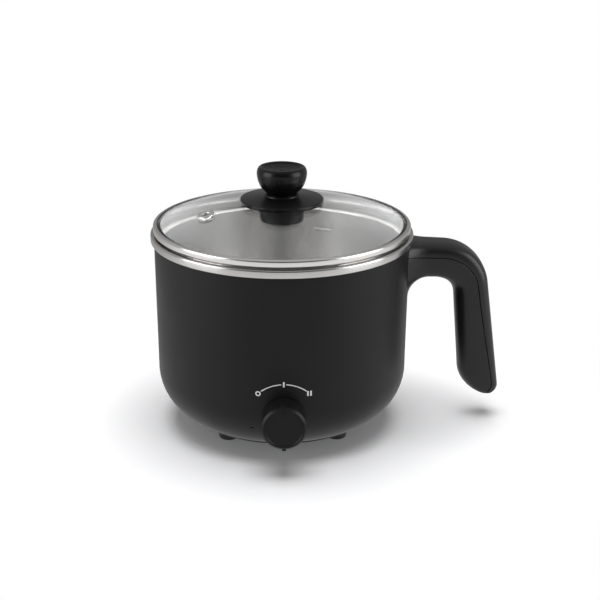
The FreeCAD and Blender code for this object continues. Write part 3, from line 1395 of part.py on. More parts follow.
def lid_knob_cap():
    """Cap under the glass that hides the screw, with a counterbore for its head."""
    body = new_body("lid_knob_cap")
    low = f"({CAP_TOP} - cap_height)"
    hole = "(bolt_radius + bolt_fit)"
    bore = "(bolt_head + bolt_fit)"
    top_edge = dome_height("cap_radius", "glass_thickness")
    hole_edge = dome_height(hole, "glass_thickness")
    turned(body, [
        Corner(bore, low),
        Corner("(cap_radius - cap_taper)", low, "cap_round"),
        Corner("cap_radius", f"({top_edge} - cap_fit)", "", "(dome_radius - glass_thickness)", 1),
        Corner(hole, f"({hole_edge} - cap_fit)"),
        Corner(hole, f"({CAP_TOP} - bolt_seat)"),
        Corner(bore, f"({CAP_TOP} - bolt_seat)"),
    ])


def lid_knob_screw():
    """Screw from under the glass up into the knob."""
    body = new_body("lid_knob_screw")
    head_top = f"({CAP_TOP} - bolt_seat)"
    tip = f"({DISC_TOP} + bolt_grip)"
    turned(body, [
        Corner("0", f"({head_top} - bolt_head_height)"),
        Corner("bolt_head", f"({head_top} - bolt_head_height)", "bolt_round"),
        Corner("bolt_head", head_top),
        Corner("bolt_radius", head_top),
        Corner("bolt_radius", tip, "bolt_round"),
        Corner("0", tip),
    ])


# ---------------------------------------------------------------- build, check and write

def build():
    """Every piece, from the stand up."""
    fill_sheet()
    outer_shell()
    inner_pot()
    rim_gasket()
    base_cover()
    feet()
    tie_posts()
    base_screws()
    heating_plate()
    heating_tube()
    heater_terminals()
    thermostat()
    thermal_fuse()
    rotary_switch()
    switch_tags()
    switch_nut()
    switch_shaft()
    control_knob()
    indicator()
    inlet_housing()
    inlet_pins()
    handle()
    handle_screws()
    lid_band()
    lid_glass()
    vent_grommet()
    lid_washer()
    lid_knob_base()
    lid_knob()
    lid_knob_cap()
    lid_knob_screw()
    doc.recompute()


def check():
    """Stops if any object failed or any piece is missing or broken."""
    failed = [thing.Label for thing in doc.Objects
              if "Invalid" in thing.State or "Error" in thing.State]
    if failed:
        raise RuntimeError("failed objects: " + ", ".join(failed))
    for node in nodes:
        if node.Shape.isNull() or not node.Shape.isValid() or not node.Shape.Solids:
            raise RuntimeError("broken shape: " + node.Label)


def write():
    """One STEP file for each node."""
    os.makedirs("parts", exist_ok=True)
    for node in nodes:
        node.Shape.exportStep(f"parts/{node.Label}.step")


build()
check()
write()
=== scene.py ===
import math

import bmesh
import bpy
import numpy as np
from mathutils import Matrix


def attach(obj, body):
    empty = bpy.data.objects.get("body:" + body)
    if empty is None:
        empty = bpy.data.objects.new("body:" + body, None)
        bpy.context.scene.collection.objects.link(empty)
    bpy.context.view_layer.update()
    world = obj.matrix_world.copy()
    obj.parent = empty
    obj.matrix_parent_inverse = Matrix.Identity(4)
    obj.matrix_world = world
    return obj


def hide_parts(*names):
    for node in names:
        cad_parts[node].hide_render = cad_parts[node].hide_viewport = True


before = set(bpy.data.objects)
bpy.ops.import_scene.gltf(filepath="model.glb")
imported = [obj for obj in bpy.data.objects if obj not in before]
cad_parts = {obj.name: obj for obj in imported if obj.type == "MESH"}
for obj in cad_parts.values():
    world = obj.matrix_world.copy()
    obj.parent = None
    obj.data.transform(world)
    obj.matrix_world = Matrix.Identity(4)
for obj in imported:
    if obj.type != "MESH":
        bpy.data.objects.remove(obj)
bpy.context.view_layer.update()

bl_info = {
    "name": "Electric Hot Pot",
    "version": (1, 0, 0),
    "blender": (4, 5, 0),
    "location": "View3D > Sidebar > Hot Pot",
    "description": "Dresses the assembly of the electric hot pot and sets up its studio",
    "category": "Object",
}

MM = 0.001

# The assembly in millimetres: up is Z, the control faces -Y, the handle +X.
WAIST_HEIGHT = 40.0
WAIST_RADIUS = 82.52
TOP_RADIUS = 83.1
SHELL_TOP = 129.8
BELLY_BEND = 34.5
FOOT_PLACE = 35.36
LINER_RADIUS = 76.5
STEAM_HOLE = (-48.4, -16.1, 145.85)
STEAM_TILT = math.radians(12.87)
STEAM_BEARING = math.radians(198.4)

# The handle: its root, just outside the shell and with an arch under it, its arm, which flares
# towards the shell, its grip and tip, the power of its section, and the joint of its two
# mouldings, whose depth gets less down the grip. The seam between them is a narrow rounded gap.
ROOT = 82.9
ROOT_FADE = 11.0
ROOT_LIFT = 0.06
ARCH = 12.6
FLARE_START = 98.0
FLARE_LENGTH = 15.1
FLARE_RISE = 1.3
FLARE_WIDTH = 6.0
FLARE_POWER = 2.4
ARM_TOP = 124.3
ARM_FOOT = 100.6
HALF_WIDTH = 12.5
GRIP_START = 104.0
GRIP_BLEND = 9.0
TIP = (140.2, 17.3)
TIP_ROWS = 34
TIP_EASE = 0.8
TIP_POWER = 2.4
SECTION_POWER = 3.7
GRIP_SOFTER = 1.6
JOINT_DEPTH = 8.7
JOINT_THINNER = 3.3
JOINT_TOP = 123.0
JOINT_RUN = 90.0
JOINT_EASE = 0.8
JOINT_SHARES = (0.1, 0.8)
JOINT_ROOM = 7.0
SEAM_GAP = 0.3
SEAM_ROUND = 0.25
SEAM_SHARES = (0.02, 0.95)
SEAM_ROOM = 3.0
COVER_POINTS = 44
GRIP_POINTS = 64

# Print: its depth under the surface and its height over it, the level line's two ends round
# the wall, and the scale about the control's axis with its arcs in degrees.
PRINT_DEPTH = 0.02
LEVEL_OVER = 0.03
LEVEL_ENDS = (24.5, 37.0)
LEVEL_HEIGHT = 110.8
LEVEL_STROKE = 0.8
SCALE_OVER = 0.04
SCALE_ARCS = ((94.0, 129.0), (51.0, 86.0))
DIAL_HEIGHT = 35.5
PAIR_REACH = 0.95
BAR_WEIGHT = 1.7
RING_WEIGHT = 1.3

# The studio: the floor's half width in millimetres, and the camera in metres and degrees.
FLOOR_REACH = 2500.0
CAMERA_REACH = 0.78
CAMERA_HEIGHT = 0.36805
CAMERA_BEARING = -0.8
CAMERA_DIP = 20.104
CAMERA_SHIFT = 0.0302

# Smallest things. In metres: points nearer than the first are one, edges shorter than the
# second are dropped. In an outline: the least run in millimetres and the least angle.
SAME_POINT = 1e-7
NO_EDGE = 1e-8
NO_RUN = 1e-5
NO_ANGLE = 1e-4


# ---------------------------------------------------------------- settings

class ShellLook(bpy.types.PropertyGroup):
    """Looks of the moulded outer shell."""
    colour: bpy.props.FloatVectorProperty(
        name="Colour", description="Colour of the shell's moulding", subtype="COLOR",
        size=3, default=(0.0055, 0.0055, 0.006), min=0.0, max=1.0)
    grain: bpy.props.FloatProperty(
        name="Grain", description="Width of one bump of the moulded grain", unit="LENGTH",
        default=0.0005, min=0.00005, max=0.005, precision=5)


class HandleLook(bpy.types.PropertyGroup):
    """Looks of the handle's two mouldings and of the black knobs."""
    colour: bpy.props.FloatVectorProperty(
        name="Handle colour", description="Colour of the handle's mouldings", subtype="COLOR",
        size=3, default=(0.0085, 0.0085, 0.009), min=0.0, max=1.0)
    knob_colour: bpy.props.FloatVectorProperty(
        name="Knob colour", description="Colour of the lid's knob and its disc", subtype="COLOR",
        size=3, default=(0.003, 0.003, 0.0032), min=0.0, max=1.0)


class SteelLook(bpy.types.PropertyGroup):
    """Looks of the inner pot and of the lid's band."""
    colour: bpy.props.FloatVectorProperty(
        name="Steel colour", description="Colour of the stainless steel", subtype="COLOR",
        size=3, default=(0.60, 0.59, 0.575), min=0.0, max=1.0)
    brushing: bpy.props.FloatProperty(
        name="Brushing", description="Distance between the lines of the turned brushing",
        unit="LENGTH", default=0.0006, min=0.00005, max=0.005, precision=5)


class GlassLook(bpy.types.PropertyGroup):
    """Looks of the lid's glass."""
    tint: bpy.props.FloatVectorProperty(
        name="Tint", description="Colour that the glass gives to light", subtype="COLOR",
        size=3, default=(0.955, 0.965, 0.965), min=0.0, max=1.0)


class DialLook(bpy.types.PropertyGroup):
    """The printed scale round the control."""
    colour: bpy.props.FloatVectorProperty(
        name="Print colour", description="Colour of the printed marks", subtype="COLOR",
        size=3, default=(0.62, 0.62, 0.61), min=0.0, max=1.0)
    radius: bpy.props.FloatProperty(
        name="Scale radius", description="Radius of the scale about the control's axis",
        unit="LENGTH", default=0.0223, min=0.017, max=0.03, precision=4)
    stroke: bpy.props.FloatProperty(
        name="Stroke", description="Width of the printed lines", unit="LENGTH",
        default=0.00062, min=0.0002, max=0.002, precision=5)
    figure: bpy.props.FloatProperty(
        name="Figure height", description="Height of the marks for off, low and high",
        unit="LENGTH", default=0.0033, min=0.001, max=0.006, precision=4)


class StageLook(bpy.types.PropertyGroup):
    """The floor and the lamps."""
    floor: bpy.props.FloatVectorProperty(
        name="Floor colour", description="Colour of the studio floor", subtype="COLOR",
        size=3, default=(0.93, 0.93, 0.94), min=0.0, max=1.0)
    overhead: bpy.props.FloatProperty(
        name="Overhead lamp", description="Power of the large lamp above the pot",
        subtype="POWER", unit="POWER", default=16.5, min=0.0, max=200.0)
    sides: bpy.props.FloatProperty(
        name="Side lamps", description="Power of each upright lamp at the sides",
        subtype="POWER", unit="POWER", default=6.5, min=0.0, max=200.0)


class HotPotLook(bpy.types.PropertyGroup):
    """Everything that a user may change."""
    shell: bpy.props.PointerProperty(type=ShellLook)
    handle: bpy.props.PointerProperty(type=HandleLook)
    steel: bpy.props.PointerProperty(type=SteelLook)
    glass: bpy.props.PointerProperty(type=GlassLook)
    dial: bpy.props.PointerProperty(type=DialLook)
    stage: bpy.props.PointerProperty(type=StageLook)


# ---------------------------------------------------------------- surfaces

def rounded(corners, steps):
    """An outline with its corners rounded. At each corner the two runs are cut back by the
    rounding over the tangent of half their angle, and an arc about the point that lies the
    rounding from both runs joins them. The ends keep their points."""
    points = np.array([corner[:2] for corner in corners], float)
    radii = np.array([corner[2] if len(corner) > 2 else 0.0 for corner in corners])
    back = np.roll(points, 1, 0) - points
    ahead = np.roll(points, -1, 0) - points
    back[0] = -ahead[0]
    ahead[-1] = -back[-1]
    back /= np.linalg.norm(back, axis=1)[:, None]
    ahead /= np.linalg.norm(ahead, axis=1)[:, None]
    half = np.arccos(np.clip((back * ahead).sum(1), -1.0, 1.0)) / 2.0
    half = np.clip(half, NO_ANGLE, math.pi / 2.0 - NO_ANGLE)
    start = points + back * (radii / np.tan(half))[:, None]
    end = points + ahead * (radii / np.tan(half))[:, None]
    middle = back + ahead
    middle /= np.maximum(np.linalg.norm(middle, axis=1), 1e-9)[:, None]
    centre = points + middle * (radii / np.sin(half))[:, None]
    share = np.linspace(0.0, 1.0, steps)[None, :, None]
    turn = (math.pi - 2.0 * half)[:, None, None]
    arcs = (np.sin((1.0 - share) * turn) * (start - centre)[:, None]
            + np.sin(share * turn) * (end - centre)[:, None]) / np.sin(turn)
    line = (arcs + centre[:, None]).reshape(-1, 2)
    fresh = np.linalg.norm(np.diff(line, axis=0), axis=1) > NO_RUN
    return line[np.concatenate([[True], fresh])]


def arc(centre, radius, start, stop, count):
    """Points at equal angles, in degrees, on a circle about centre."""
    angle = np.radians(np.linspace(start, stop, count))
    return np.stack([centre[0] + radius * np.cos(angle), centre[1] + radius * np.sin(angle)], 1)


def smoothed(points, rounds):
    """A smooth line near its control points, a cubic spline by halving: each round keeps the
    ends, puts a point on the middle of every run and moves each old point to three quarters of
    itself and an eighth of both its neighbours."""
    line = np.asarray(points, float)
    for _ in range(rounds):
        fresh = np.empty((2 * len(line) - 1, line.shape[1]))
        fresh[1::2] = (line[:-1] + line[1:]) / 2.0
        fresh[0::2] = line
        fresh[2:-1:2] = line[1:-1] * 0.75 + (line[:-2] + line[2:]) * 0.125
        line = fresh
    return line


def paced(line, count, ease):
    """The same line in points at even lengths, or closer towards its end where ease is under 1."""
    run = np.concatenate([[0.0], np.cumsum(np.linalg.norm(np.diff(line, axis=0), axis=1))])
    at = run[-1] * (1.0 - (1.0 - np.linspace(0.0, 1.0, count)) ** (1.0 / ease))
    return np.stack([np.interp(at, run, line[:, i]) for i in range(line.shape[1])], 1)


def turned(outline, columns, place=None):
    """An outline of (radius, height) carried round its axis: radius times the cosine and the
    sine of the angle across the axis, height along it. place moves the points."""
    angle = np.linspace(0.0, 2.0 * math.pi, columns, endpoint=False)[:, None]
    radius, height = outline[:, 0][None], outline[:, 1][None]
    grid = np.stack([radius * np.cos(angle), radius * np.sin(angle),
                     np.broadcast_to(height, (columns, outline.shape[0]))], -1)
    return grid if place is None else place(grid)


def ribbon(path, width, height, closed, place):
    """A printed line with a rectangular section carried along a path: half the width to each
    side along the path's normal, from the print's depth under the surface to height over it.
    place lays (across, up, over) on the surface. Open ends close on their middle."""
    path = np.asarray(path, float)
    ends = (np.roll(path, -1, 0), np.roll(path, 1, 0)) if closed else (
        np.vstack([path[1:], 2 * path[-1:] - path[-2:-1]]),
        np.vstack([2 * path[:1] - path[1:2], path[:-1]]))
    along = ends[0] - ends[1]
    along /= np.linalg.norm(along, axis=1)[:, None]
    side = np.stack([-along[:, 1], along[:, 0]], 1) * width / 2.0
    left, right = path + side, path - side
    flat = np.stack([left, left, right, right], 1)
    over = np.array([-PRINT_DEPTH, height, height, -PRINT_DEPTH])
    over = np.broadcast_to(over, flat.shape[:2])
    if not closed:
        tips = [flat[i].mean(0)[None, None].repeat(4, 1) for i in (0, -1)]
        flat = np.concatenate([tips[0], flat, tips[1]])
        over = np.concatenate([over[:1] * 0.0, over, over[-1:] * 0.0])
    return place(flat[..., 0], flat[..., 1], over)


def faces_of(shape, around, along):
    """Four-cornered faces between neighbouring points of a grid, joined over its last row
    or column where the shape runs on."""
    rows, columns = shape
    i = np.arange(rows if around else rows - 1)[:, None]
    j = np.arange(columns if along else columns - 1)[None]
    k, l = (i + 1) % rows, (j + 1) % columns
    corners = [i * columns + j, k * columns + j, k * columns + l, i * columns + l]
    return np.stack(np.broadcast_arrays(*corners), -1).reshape(-1, 4)


def skin(name, grids, around=True, along=False, crease=32.0):
    """A mesh over grids of points in millimetres. Doubled points at poles and seams are
    merged, faces are turned outwards, and edges sharper than crease stay sharp."""
    points, faces, count = [], [], 0
    for grid in grids if isinstance(grids, list) else [grids]:
        points.append(grid.reshape(-1, 3) * MM)
        faces.append(faces_of(grid.shape[:2], around, along) + count)
        count += points[-1].shape[0]
    mesh = bpy.data.meshes.new(name)
    mesh.from_pydata(np.concatenate(points).tolist(), [], np.concatenate(faces).tolist())
    shape = bmesh.new()
    shape.from_mesh(mesh)
    bmesh.ops.remove_doubles(shape, verts=shape.verts, dist=SAME_POINT)
    bmesh.ops.dissolve_degenerate(shape, edges=shape.edges, dist=NO_EDGE)
    bmesh.ops.recalc_face_normals(shape, faces=shape.faces)
    shape.to_mesh(mesh)
    shape.free()
    mesh.polygons.foreach_set("use_smooth", np.ones(len(mesh.polygons), bool))
    mesh.set_sharp_from_angle(angle=math.radians(crease))
    piece = bpy.data.objects.new(name, mesh)
    bpy.context.scene.collection.objects.link(piece)
    return piece


def fit(piece, body, material, slot, *nodes):
    """Gives a new piece its body, its material and the nodes that it stands for."""
    piece.data.materials.append(finish(material))
    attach(piece, body)
    if nodes:
        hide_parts(*nodes)


def dress(material, *nodes):
    """Gives nodes that stay their material."""
    for node in nodes:
        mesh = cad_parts[node].data
        mesh.materials.clear()
        mesh.materials.append(finish(material))


def shell_radius(z):
    """The shell's outer radius: an arc under the waist, a slight taper over it."""
    belly = (WAIST_RADIUS - BELLY_BEND) + np.sqrt(
        np.maximum(BELLY_BEND ** 2 - np.minimum(z - WAIST_HEIGHT, 0.0) ** 2, 0.0))
    taper = (TOP_RADIUS - WAIST_RADIUS) / (SHELL_TOP - WAIST_HEIGHT)
    return np.where(z < WAIST_HEIGHT, belly, WAIST_RADIUS + (z - WAIST_HEIGHT) * taper)


def on_shell_front(across, up, over):
    """Lays a drawing about the control's axis on the front of the shell."""
    z = DIAL_HEIGHT + up
    radius = shell_radius(z) + over
    return np.stack([across, -np.sqrt(radius ** 2 - across ** 2), z], -1)


def on_liner_back(across, up, over):
    """Lays a drawing on the inner pot's wall: across goes round it from its back."""
    radius = LINER_RADIUS - over
    angle = across / LINER_RADIUS
    return np.stack([radius * np.sin(angle), radius * np.cos(angle), up], -1)


# ---------------------------------------------------------------- materials

def add_node(tree, kind, sockets=None, **settings):
    """Adds a node with its settings and its inputs, each a value or another node's output."""
    node = tree.nodes.new(kind)
    for key, value in settings.items():
        setattr(node, key, value)
    for key, value in (sockets or {}).items():
        if isinstance(value, bpy.types.NodeSocket):
            tree.links.new(value, node.inputs[key])
        else:
            node.inputs[key].default_value = value
    return node


def make_group(name, inputs, outputs):
    """A new node group with named inputs and outputs, and its two end nodes."""
    tree = bpy.data.node_groups.new(name, "ShaderNodeTree")
    for label, kind, default in inputs:
        socket = tree.interface.new_socket(label, in_out="INPUT", socket_type=kind)
        if default is not None:
            socket.default_value = default
    for label in outputs:
        tree.interface.new_socket(label, in_out="OUTPUT", socket_type="NodeSocketFloat")
    return tree, tree.nodes.new("NodeGroupInput"), tree.nodes.new("NodeGroupOutput")


def reckon(tree, operation, *values):
    """The result of a math node on its values."""
    return add_node(tree, "ShaderNodeMath", dict(enumerate(values)),
                    operation=operation).outputs[0]


def ramp(tree, value, start, stop, low=0.0, high=1.0):
    """A smooth step from low to high while the value goes from start to stop."""
    return add_node(tree, "ShaderNodeMapRange", {
        "Value": value, "From Min": start, "From Max": stop, "To Min": low, "To Max": high},
        interpolation_type="SMOOTHSTEP").outputs[0]


def mixed_value(tree, share, low, high):
    """A value between two, by a share; each may be another node's output."""
    kept = reckon(tree, "MULTIPLY", low, reckon(tree, "SUBTRACT", 1.0, share))
    return reckon(tree, "MULTIPLY_ADD", high, share, kept)


def scaled(tree, vector, size):
    """A place divided by a size, so that noise on it has that size."""
    share = reckon(tree, "DIVIDE", 1.0, size)
    return add_node(tree, "ShaderNodeVectorMath", {0: vector, "Scale": share},
                    operation="SCALE").outputs[0]


def noise(tree, vector, detail, distortion=0.0):
    """Noise of about one unit, with finer noise in it."""
    return add_node(tree, "ShaderNodeTexNoise", {
        "Vector": vector, "Scale": 1.0, "Detail": detail,
        "Distortion": distortion}).outputs["Fac"]


def moulded_grain():
    """Group: fine bumps of a spark-eroded mould, and soft cloudy patches."""
    if "moulded grain" in bpy.data.node_groups:
        return bpy.data.node_groups["moulded grain"]
    tree, start, end = make_group("moulded grain", [
        ("Vector", "NodeSocketVector", None), ("Grain", "NodeSocketFloat", 0.0005),
        ("Patch", "NodeSocketFloat", 0.03)], ["Height", "Cloud"])
    for source, target, detail in (("Grain", "Height", 2.0), ("Patch", "Cloud", 3.0)):
        place = scaled(tree, start.outputs["Vector"], start.outputs[source])
        tree.links.new(noise(tree, place, detail), end.inputs[target])
    return tree


def turned_brushing():
    """Group: lines left by brushing on a lathe, fine across the radius and the height and
    long round the axis, with a slower change of tone."""
    if "turned brushing" in bpy.data.node_groups:
        return bpy.data.node_groups["turned brushing"]
    tree, start, end = make_group("turned brushing", [
        ("Vector", "NodeSocketVector", None), ("Spacing", "NodeSocketFloat", 0.0006)],
        ["Height", "Tone"])
    place, spacing = start.outputs["Vector"], start.outputs["Spacing"]
    flat = add_node(tree, "ShaderNodeVectorMath", {0: place, 1: (1.0, 1.0, 0.0)},
                    operation="MULTIPLY").outputs[0]
    radius = add_node(tree, "ShaderNodeVectorMath", {0: flat}, operation="LENGTH")
    bearing = add_node(tree, "ShaderNodeVectorMath", {0: flat}, operation="NORMALIZE")
    height = add_node(tree, "ShaderNodeSeparateXYZ", {0: place})
    across = reckon(tree, "DIVIDE", radius.outputs["Value"], spacing)
    up = reckon(tree, "DIVIDE", height.outputs["Z"], spacing)
    split = add_node(tree, "ShaderNodeSeparateXYZ", {0: bearing.outputs[0]})
    lines = add_node(tree, "ShaderNodeCombineXYZ", {
        "X": reckon(tree, "ADD", across, up), "Y": split.outputs["X"],
        "Z": split.outputs["Y"]}).outputs[0]
    slow = add_node(tree, "ShaderNodeVectorMath", {0: lines, 1: (0.04, 1.6, 1.6)},
                    operation="MULTIPLY").outputs[0]
    tree.links.new(noise(tree, lines, 2.0), end.inputs["Height"])
    tree.links.new(noise(tree, slow, 1.0), end.inputs["Tone"])
    return tree


def handling_marks():
    """Group: faint wiped smears, as a mask from 0 to 1."""
    if "handling marks" in bpy.data.node_groups:
        return bpy.data.node_groups["handling marks"]
    tree, start, end = make_group("handling marks", [
        ("Vector", "NodeSocketVector", None), ("Size", "NodeSocketFloat", 0.02)], ["Smear"])
    smear = noise(tree, scaled(tree, start.outputs["Vector"], start.outputs["Size"]), 3.0, 0.2)
    soft = add_node(tree, "ShaderNodeMapRange", {
        "Value": smear, "From Min": 0.45, "From Max": 0.75})
    tree.links.new(soft.outputs[0], end.inputs["Smear"])
    return tree


def new_material(name):
    """A material with an empty tree, its output and its Object coordinates."""
    material = bpy.data.materials.new(name)
    material.use_nodes = True
    tree = material.node_tree
    tree.nodes.clear()
    output = add_node(tree, "ShaderNodeOutputMaterial")
    place = add_node(tree, "ShaderNodeTexCoord").outputs["Object"]
    return material, tree, output, place


def spread(tree, mask, low, high):
    """A mask from 0 to 1 stretched between two values."""
    return add_node(tree, "ShaderNodeMapRange", {
        "Value": mask, "From Min": 0.0, "From Max": 1.0, "To Min": low, "To Max": high}).outputs[0]


def tinted(tree, mask, colour, change):
    """A colour that the mask lightens or darkens by a share."""
    ramp = add_node(tree, "ShaderNodeMix", data_type="RGBA")
    tree.links.new(mask, ramp.inputs["Factor"])
    ramp.inputs["A"].default_value = (*[c * (1.0 - change) for c in colour], 1.0)
    ramp.inputs["B"].default_value = (*[min(c * (1.0 + change), 1.0) for c in colour], 1.0)
    return ramp.outputs["Result"]


def set_shader(tree, output, sockets):
    """The material's own shader, linked to its output."""
    shader = add_node(tree, "ShaderNodeBsdfPrincipled", sockets)
    tree.links.new(shader.outputs[0], output.inputs["Surface"])


def textured(tree, place, group, **sizes):
    """The outputs of a node group placed on a material's coordinates."""
    return add_node(tree, "ShaderNodeGroup", {"Vector": place, **sizes},
                    node_tree=group).outputs


def bumped(tree, height, depth):
    """The normal over bumps of a height from 0 to 1 times depth."""
    return add_node(tree, "ShaderNodeBump", {
        "Height": height, "Strength": 1.0, "Distance": depth}).outputs[0]


def moulding(name, colour, roughness, grain, depth, level=0.5):
    """Moulded plastic, rubber or silicone with its mould's grain, wiped smoother in places."""
    material, tree, output, place = new_material(name)
    mould = textured(tree, place, moulded_grain(), Grain=grain)
    marks = textured(tree, place, handling_marks(), Size=0.035)
    wear = reckon(tree, "MULTIPLY", mould["Cloud"], marks["Smear"])
    set_shader(tree, output, {
        "Base Color": tinted(tree, mould["Cloud"], colour, 0.12),
        "Roughness": spread(tree, wear, roughness, roughness * 0.8),
        "Specular IOR Level": level, "Normal": bumped(tree, mould["Height"], depth)})
    return material


def brushed(name, colour, roughness, spacing, depth, anisotropy):
    """Turned and brushed metal, its gloss drawn out across the lines."""
    material, tree, output, place = new_material(name)
    lines = textured(tree, place, turned_brushing(), Spacing=spacing)
    marks = textured(tree, place, handling_marks(), Size=0.03)
    set_shader(tree, output, {
        "Base Color": tinted(tree, lines["Tone"], colour, 0.08), "Metallic": 1.0,
        "Roughness": spread(tree, marks["Smear"], roughness * 0.95, roughness * 1.12),
        "Anisotropic": anisotropy, "Anisotropic Rotation": 0.25,
        "Normal": bumped(tree, lines["Height"], depth)})
    return material


def cast(name, colour, roughness, metallic, grain, depth):
    """Rolled, cast, plated or fired parts inside and under the pot."""
    material, tree, output, place = new_material(name)
    rough = textured(tree, place, moulded_grain(), Grain=grain, Patch=0.008)
    set_shader(tree, output, {
        "Base Color": tinted(tree, rough["Cloud"], colour, 0.15), "Metallic": metallic,
        "Roughness": spread(tree, rough["Cloud"], roughness * 0.75, roughness * 1.25),
        "Normal": bumped(tree, rough["Height"], depth)})
    return material


def clear(name, tint, roughness, index):
    """Clear glass. Lamp light and bounced light pass it straight, so that what lies behind
    is lit as through real glass."""
    material, tree, output, place = new_material(name)
    marks = textured(tree, place, handling_marks())
    shader = add_node(tree, "ShaderNodeBsdfPrincipled", {
        "Base Color": (*tint, 1.0), "Metallic": 0.0, "Transmission Weight": 1.0, "IOR": index,
        "Roughness": spread(tree, marks["Smear"], roughness, roughness + 0.02)})
    path = add_node(tree, "ShaderNodeLightPath").outputs
    through = add_node(tree, "ShaderNodeBsdfTransparent", {"Color": (*tint, 1.0)})
    both = add_node(tree, "ShaderNodeMixShader", {
        0: reckon(tree, "MAXIMUM", path["Is Shadow Ray"], path["Is Diffuse Ray"]),
        1: shader.outputs[0], 2: through.outputs[0]})
    tree.links.new(both.outputs[0], output.inputs["Surface"])
    return material


def printed(name, colour):
    """Printed ink, a little uneven."""
    material, tree, output, place = new_material(name)
    ink = textured(tree, place, moulded_grain(), Grain=0.0004)
    set_shader(tree, output, {
        "Base Color": tinted(tree, ink["Height"], colour, 0.1),
        "Roughness": spread(tree, ink["Height"], 0.4, 0.6)})
    return material


def finish(name):
    """The material of that name, made when it is first asked for. Lengths are in metres."""
    if name in bpy.data.materials:
        return bpy.data.materials[name]
    look = bpy.context.scene.hot_pot
    shell, handle = tuple(look.shell.colour), tuple(look.handle.colour)
    knob, tint = tuple(look.handle.knob_colour), tuple(look.glass.tint)
    steel, lines = tuple(look.steel.colour), look.steel.brushing
    bright = tuple(min(c * 1.3, 1.0) for c in steel)
    maker, *values = {
        # mouldings: colour, roughness, width and height of the grain, specular level
        "shell moulding": (moulding, shell, 0.44, look.shell.grain, 0.00003, 0.22),
        "handle moulding": (moulding, handle, 0.34, 0.0004, 0.00002, 0.36),
        "knob moulding": (moulding, knob, 0.3, 0.0004, 0.00001, 0.25),
        "dial moulding": (moulding, shell, 0.38, 0.0004, 0.00001, 0.18),
        "cap moulding": (moulding, (0.016, 0.016, 0.0165), 0.45, 0.0004, 0.00001),
        "foot rubber": (moulding, (0.008, 0.008, 0.008), 0.7, 0.0005, 0.00004, 0.3),
        "gasket silicone": (moulding, (0.02, 0.02, 0.02), 0.55, 0.0005, 0.00002),
        "switch plastic": (moulding, (0.03, 0.03, 0.032), 0.45, 0.0005, 0.00002),
        # turned metal: colour, roughness, spacing and height of the lines, anisotropy
        "pot steel": (brushed, steel, 0.24, lines, 0.0000005, 0.75),
        "band steel": (brushed, bright, 0.23, lines, 0.000001, 0.2),
        "ring steel": (brushed, (0.86, 0.86, 0.85), 0.42, lines, 0.000004, 0.0),
        # castings and sheet: colour, roughness, metallic, width and height of the grain
        "plate aluminium": (cast, (0.52, 0.53, 0.55), 0.42, 1.0, 0.0006, 0.00004),
        "screw steel": (cast, (0.5, 0.5, 0.51), 0.3, 1.0, 0.0005, 0.00001),
        "bracket steel": (cast, (0.45, 0.46, 0.47), 0.38, 1.0, 0.0008, 0.00002),
        "brass": (cast, (0.72, 0.52, 0.24), 0.3, 1.0, 0.0005, 0.00001),
        "ceramic": (cast, (0.72, 0.70, 0.66), 0.5, 0.0, 0.0007, 0.00003),
        # glass: tint, roughness, index of refraction
        "red lens": (clear, (0.5, 0.03, 0.02), 0.1, 1.49),
        "lid glass": (clear, tint, 0.0, 1.5),
        "lamp glass": (clear, (0.9, 0.92, 0.93), 0.02, 1.5),
        # ink: colour
        "scale print": (printed, tuple(look.dial.colour)),
        "level print": (printed, (0.9, 0.9, 0.89)),
    }[name]
    return maker(name, *values)


# ---------------------------------------------------------------- pieces

def pot_outline():
    """Section of the inner pot, from its floor's underside round the rolled rim to its inside."""
    return rounded([
        (0, 49), (77.2, 49, 12.7), (77.2, 124.6, 0.7), (80.7, 126.2, 1.3), (80.7, 131, 1.7),
        (84.6, 131, 0.6), (84.6, 127.2, 0.3), (83.2, 127.2), (83.2, 126.6), (85.27, 126.6, 0.8),
        (85.27, 131.7, 1.2), (80, 131.7, 1.6), (80, 126.9, 0.6), (LINER_RADIUS, 125.3, 1.4),
        (LINER_RADIUS, 49.7, 12), (0, 49.7)], steps=9)


def band_outline():
    """Section of the lid's band: its skirt, its lap on the rim and its lip over the glass."""
    return rounded([
        (78.6, 130), (78.6, 127.2), (79.2, 127.2), (79.2, 133.2, 0.5), (83.5, 133.2, 0.4),
        (83.5, 137.2, 1.3), (81.1, 137.46), (81.1, 136.86), (82.9, 136.6, 1.0),
        (82.9, 133.8), (78.6, 133.8, 1.1), (78.6, 130)], steps=6)


def knob_outline():
    """Section of the lid's knob: neck, flare and bulb run into one another without a corner,
    and the top is dished, with a turned ring and a dimple in it."""
    side = smoothed([
        (9.7, 154.8), (9.7, 155.9), (10.0, 156.9), (12.0, 158.4), (14.1, 161.0), (15.5, 164.6),
        (16.1, 167.8), (16.25, 170.2), (15.6, 172.4), (14.5, 173.6), (13.5, 173.6),
        (12.7, 172.85), (11.9, 171.9), (9.9, 171.5), (7.6, 171.4), (6.3, 171.6), (5.4, 171.1),
        (3.4, 171.0), (1.9, 171.0), (1.2, 170.5), (0, 170.4)], rounds=3)
    return np.concatenate([[(2.5, 164.8), (2.5, 154.8)], side])


def disc_outline():
    """Section of the disc under the knob, its foot turned down to the glass."""
    return rounded([
        (2.8, 153.5), (2.8, 152.6), (12.6, 152.6), (25.1, 151.1), (25.1, 150.3),
        (26.7, 150.12, 0.2), (27.1, 152.75, 0.9), (11.4, 154.75, 0.3), (11.4, 155.8, 0.5),
        (9.9, 155.8), (9.9, 154.8), (2.8, 154.8), (2.8, 153.5)], steps=7)


